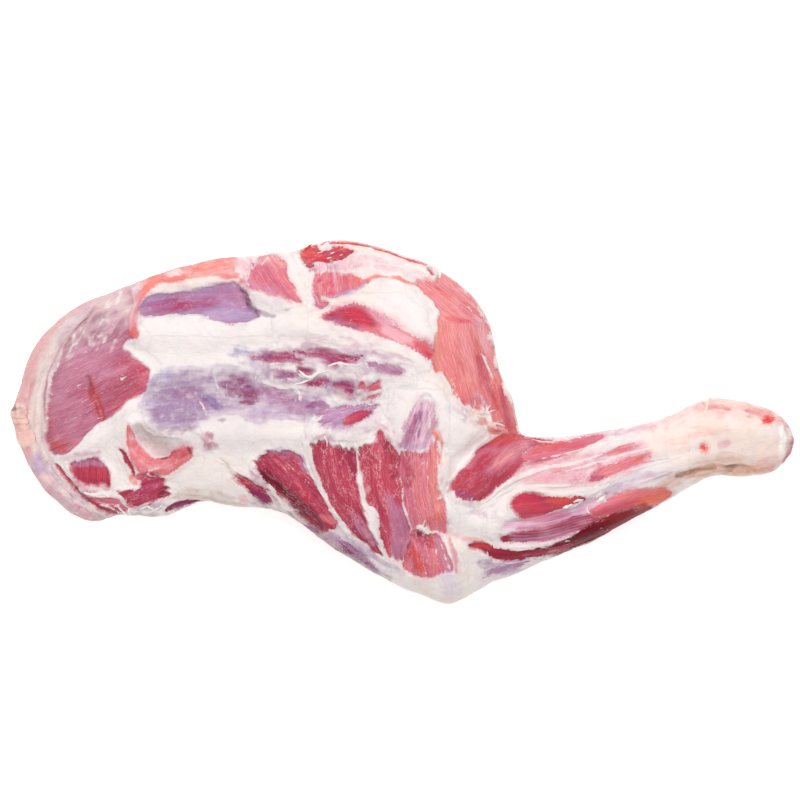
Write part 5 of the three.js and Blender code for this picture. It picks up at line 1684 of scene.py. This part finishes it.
def muscle_colour(g):
    """Broken dark and light threads along the grain, fine pale lines, and a web of connective tissue; the
    light threads and pale lines are partly painted sheen.
    """
    own = g.lean.outputs["Color"]
    dark, light = g.multiplied(own, DARK_FIBRE), g.multiplied(own, PALE_FIBRE_AND_SHEEN)
    coarse = g.fibre_noise(34, 3.4, 3, 0.55)
    colour = g.mix(g.product(g.ramp(g.threads, 0.50, 0.28), g.drawn, 0.45), own, dark)
    colour = g.mix(g.product(g.ramp(coarse, 0.50, 0.36), g.drawn, 0.2), colour, dark)
    # The light threads and the fine pale lines are partly the fibres' own paler streaks and partly painted
    # sheen along the wet grain.
    colour = g.mix(g.product(g.ramp(g.threads, 0.54, 0.74), g.drawn, 0.45), colour, light)
    lines = g.vein(g.fibre_noise(26, 1.0, 3, 0.6), 0.05)
    colour = g.mix(g.product(lines, g.math("MULTIPLY_ADD", g.drawn, 0.38, 0.05)), colour, light)
    web = g.vein(g.fibre_noise(9, 4.2, 5, 0.7), 0.02)
    webbed = g.attribute("web").outputs["Fac"]
    colour = g.mix(g.product(web, g.ramp(coarse, 0.36, 0.60), webbed, 0.85), colour, paint("web"))
    return g.mix(g.product(g.ramp(g.flecks, 0.74, 0.82), webbed, 0.4), colour, paint("web"))


def fat_colour(g):
    """Creamy and greyish mottling, drawn out in streaks, painted shade in its creases and furrows, and a
    white network over what shows through.
    """
    own = g.fat.outputs["Color"]
    shade = g.multiplied(own, FAT_SHADE)
    colour = g.mix(g.product(g.ramp(g.mottle, 0.5, 0.75), 0.35), own, paint("fat grey"))
    colour = g.mix(g.product(g.ramp(g.mottle, 0.5, 0.25), 0.3), colour, paint("fat cream"))
    crease = g.ramp(g.attribute("crease").outputs["Fac"], 0.15, 0.8)
    # painted shade: the fat darkens in its creases, where the relief sinks
    colour = g.mix(g.product(crease, 0.6), colour, shade)
    green = g.node("ShaderNodeSeparateColor", {"Color": own}).outputs["Green"]
    tinted = g.ramp(green, 0.74, 0.45)
    # painted shade in the furrows of the fat's fine grain, where the bump sinks, deeper where the fat is
    # tinted
    furrows = g.product(g.ramp(g.tissue, 0.5, 0.30), g.math("MULTIPLY_ADD", tinted, 0.6, 0.1), g.drawn)
    colour = g.mix(furrows, colour, shade)
    colour = g.mix(g.product(g.ramp(g.tissue, 0.55, 0.72), g.drawn, 0.45), colour, paint("fat"))
    clouds = g.noise(g.place, 240, 5, 0.65)
    cloudy = g.product(tinted, g.math("MULTIPLY_ADD", g.drawn, 0.45, 0.1))
    colour = g.mix(g.product(g.ramp(clouds, 0.54, 0.70), cloudy), colour, paint("fat"))
    return g.mix(g.product(g.ramp(clouds, 0.48, 0.32), cloudy), colour, shade)


def lean_over_fat(g):
    """Both colours with the border between them, crisp or feathered, and where it is lean."""
    depth = g.math("ADD", g.lean.outputs["Alpha"], g.fray)
    thin = g.product(g.math("SUBTRACT", g.noise(g.place, 75, 3, 0.6), 0.5), 7.0)
    halo = g.product(g.ramp(g.math("ADD", depth, thin), -2.6, 1.0), 0.3)
    pale = g.mix(halo, fat_colour(g), g.lean.outputs["Color"])
    feather = g.math("MULTIPLY_ADD", g.ramp(g.noise(g.place, 50, 2, 0.5), 0.42, 0.64), 1.5, 0.2)
    is_lean = g.ramp(g.math("DIVIDE", depth, feather), -0.9, 0.6)
    return g.mix(is_lean, pale, muscle_colour(g)), is_lean


def film_over(g, colour):
    """A colour with the membranes over it."""
    veil = g.fibre_noise(12, 1.4, 4, 0.65)
    patchy = g.math("MULTIPLY_ADD", g.ramp(veil, 0.30, 0.62), 0.6, 0.4)
    cover = g.math("MULTIPLY", g.film.outputs["Alpha"], patchy, clamp=True)
    return g.mix(cover, colour, g.film.outputs["Color"])


def strands(g):
    """Where the white strands lie, broken here and there."""
    broken = g.math("MULTIPLY_ADD", g.noise(g.place, 260, 3, 0.6), 2.0, -1.25)
    ragged = g.math("MULTIPLY_ADD", g.fray, 0.3, broken)
    strand = g.math("ADD", g.attribute("strand").outputs["Fac"], ragged)
    return g.product(g.ramp(strand, -0.25, 0.35), 0.8)


def fine_relief(g, is_lean, strand):
    """The height of the fibres, the fat's grain and the strands, too fine for the mesh."""
    fibres = g.product(g.math("ADD", g.threads, g.product(g.flecks, 0.5)), is_lean)
    fat = g.math("ADD", g.noise(g.place, 420, 4, 0.6), g.product(g.tissue, 0.8))
    fat = g.product(fat, g.math("SUBTRACT", 1.0, is_lean))
    height = g.math("ADD", g.product(fibres, 0.5), g.product(fat, 0.7))
    height = g.math("ADD", height, g.product(is_lean, -0.2))
    return g.math("ADD", height, g.product(strand, 0.3))


def meat_material():
    """The whole skin: lean, fat and the border between them, films and strands, gloss and fine relief."""
    g = MeatGraph()
    colour, is_lean = lean_over_fat(g)
    strand = strands(g)
    colour = g.mix(strand, film_over(g, colour), paint("fat"))
    wetter = {"From Min": 0.3, "From Max": 1.7, "To Min": 0.48, "To Max": 0.30}
    gloss = g.node("ShaderNodeMapRange", {"Value": g.math("ADD", is_lean, g.mottle), **wetter})
    height = fine_relief(g, is_lean, strand)
    bump = g.node("ShaderNodeBump", {"Strength": 0.7, "Distance": 0.8 * MM, "Height": height})
    g.put(g.shader.inputs["Base Color"], colour)
    g.put(g.shader.inputs["Roughness"], gloss.outputs[0])
    g.put(g.shader.inputs["Normal"], bump.outputs[0])
    g.put(g.shader.inputs["Coat Normal"], bump.outputs[0])
    set_inputs(g.shader, WET_FLESH)
    return g.material


def shred_material():
    """White tissue, creamier and greyer in places, with a little of the flesh's pink."""
    g = Graph("torn_tissue")
    place = g.node("ShaderNodeTexCoord").outputs["Object"]
    own = g.attribute("tint").outputs["Color"]
    mottle = g.noise(place, 500, 4, 0.6)
    shaded = g.math("MULTIPLY", g.ramp(mottle, 0.5, 0.3), 0.5)
    g.put(g.shader.inputs["Base Color"], g.mix(shaded, own, g.multiplied(own, SHRED_SHADE)))
    g.put(g.shader.inputs["Roughness"], g.math("MULTIPLY_ADD", mottle, 0.3, 0.25))
    height = g.noise(place, 1400, 3, 0.6)
    bump = g.node("ShaderNodeBump", {"Strength": 0.6, "Distance": 0.3 * MM, "Height": height})
    g.put(g.shader.inputs["Normal"], bump.outputs[0])
    set_inputs(g.shader, WET_FLESH)
    return g.material


# ---- Floor, light and camera ----
FLOOR_SIZE = 12.0
LIGHTS = (  # soft light mostly from the neck side: name, place, width and depth, and watts
    ("key", (-0.2, 0.8, 1.7), (0.6, 0.5), 10),
    ("top", (0.2, -0.1, 1.9), (1.6, 1.6), 8),
    ("glint", (-0.1, 0.5, 1.6), (0.12, 0.12), 7),
)
LIGHTS_AIM = Vector((0, 0, 0.03))
SURROUNDINGS = {"Color": (1, 1, 1, 1), "Strength": 0.48}


def add_camera():
    """The camera, straight above the joint."""
    data = bpy.data.cameras.new("camera")
    data.lens, data.sensor_width = LENS, SENSOR
    data.clip_start, data.clip_end = 0.01, 50
    camera = link(bpy.data.objects.new("camera", data))
    camera.location = (*VIEW_CENTRE, OUTLINE_HEIGHT + VIEW_DISTANCE)
    bpy.context.scene.camera = camera


def add_area_light(name, place, size, watts):
    """A rectangular lamp turned towards the joint."""
    data = bpy.data.lights.new(name, "AREA")
    data.shape, data.size, data.size_y, data.energy = "RECTANGLE", *size, watts
    light = link(bpy.data.objects.new(name, data))
    light.location = place
    light.rotation_euler = (LIGHTS_AIM - Vector(place)).to_track_quat("-Z", "Y").to_euler()


def add_floor():
    """A pale floor that glows a little."""
    bpy.ops.mesh.primitive_plane_add(size=FLOOR_SIZE, location=(0, 0, 0))
    floor = bpy.context.object
    floor.name = "floor"
    g = Graph("pale_floor")
    set_inputs(g.shader, PALE_FLOOR)
    floor.data.materials.append(g.material)


def add_studio():
    """The floor, the lamps and the light all round."""
    add_floor()
    for light in LIGHTS:
        add_area_light(*light)
    world = bpy.data.worlds.new("studio")
    bpy.context.scene.world = world
    world.use_nodes = True
    set_inputs(world.node_tree.nodes["Background"], SURROUNDINGS)
    bpy.context.scene.view_settings.view_transform = "Standard"


def corners(box):
    """A box's lowest and highest corners as plain lists."""
    return [list(corner) for corner in box]


def main():
    """Both pieces with their materials, in the studio."""
    meat, shreds = make_meat()
    meat.data.materials.append(meat_material())
    shreds.data.materials.append(shred_material())
    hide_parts(NODE)
    for piece in (meat, shreds):
        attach(piece, "root")
    add_studio()
    add_camera()


main()
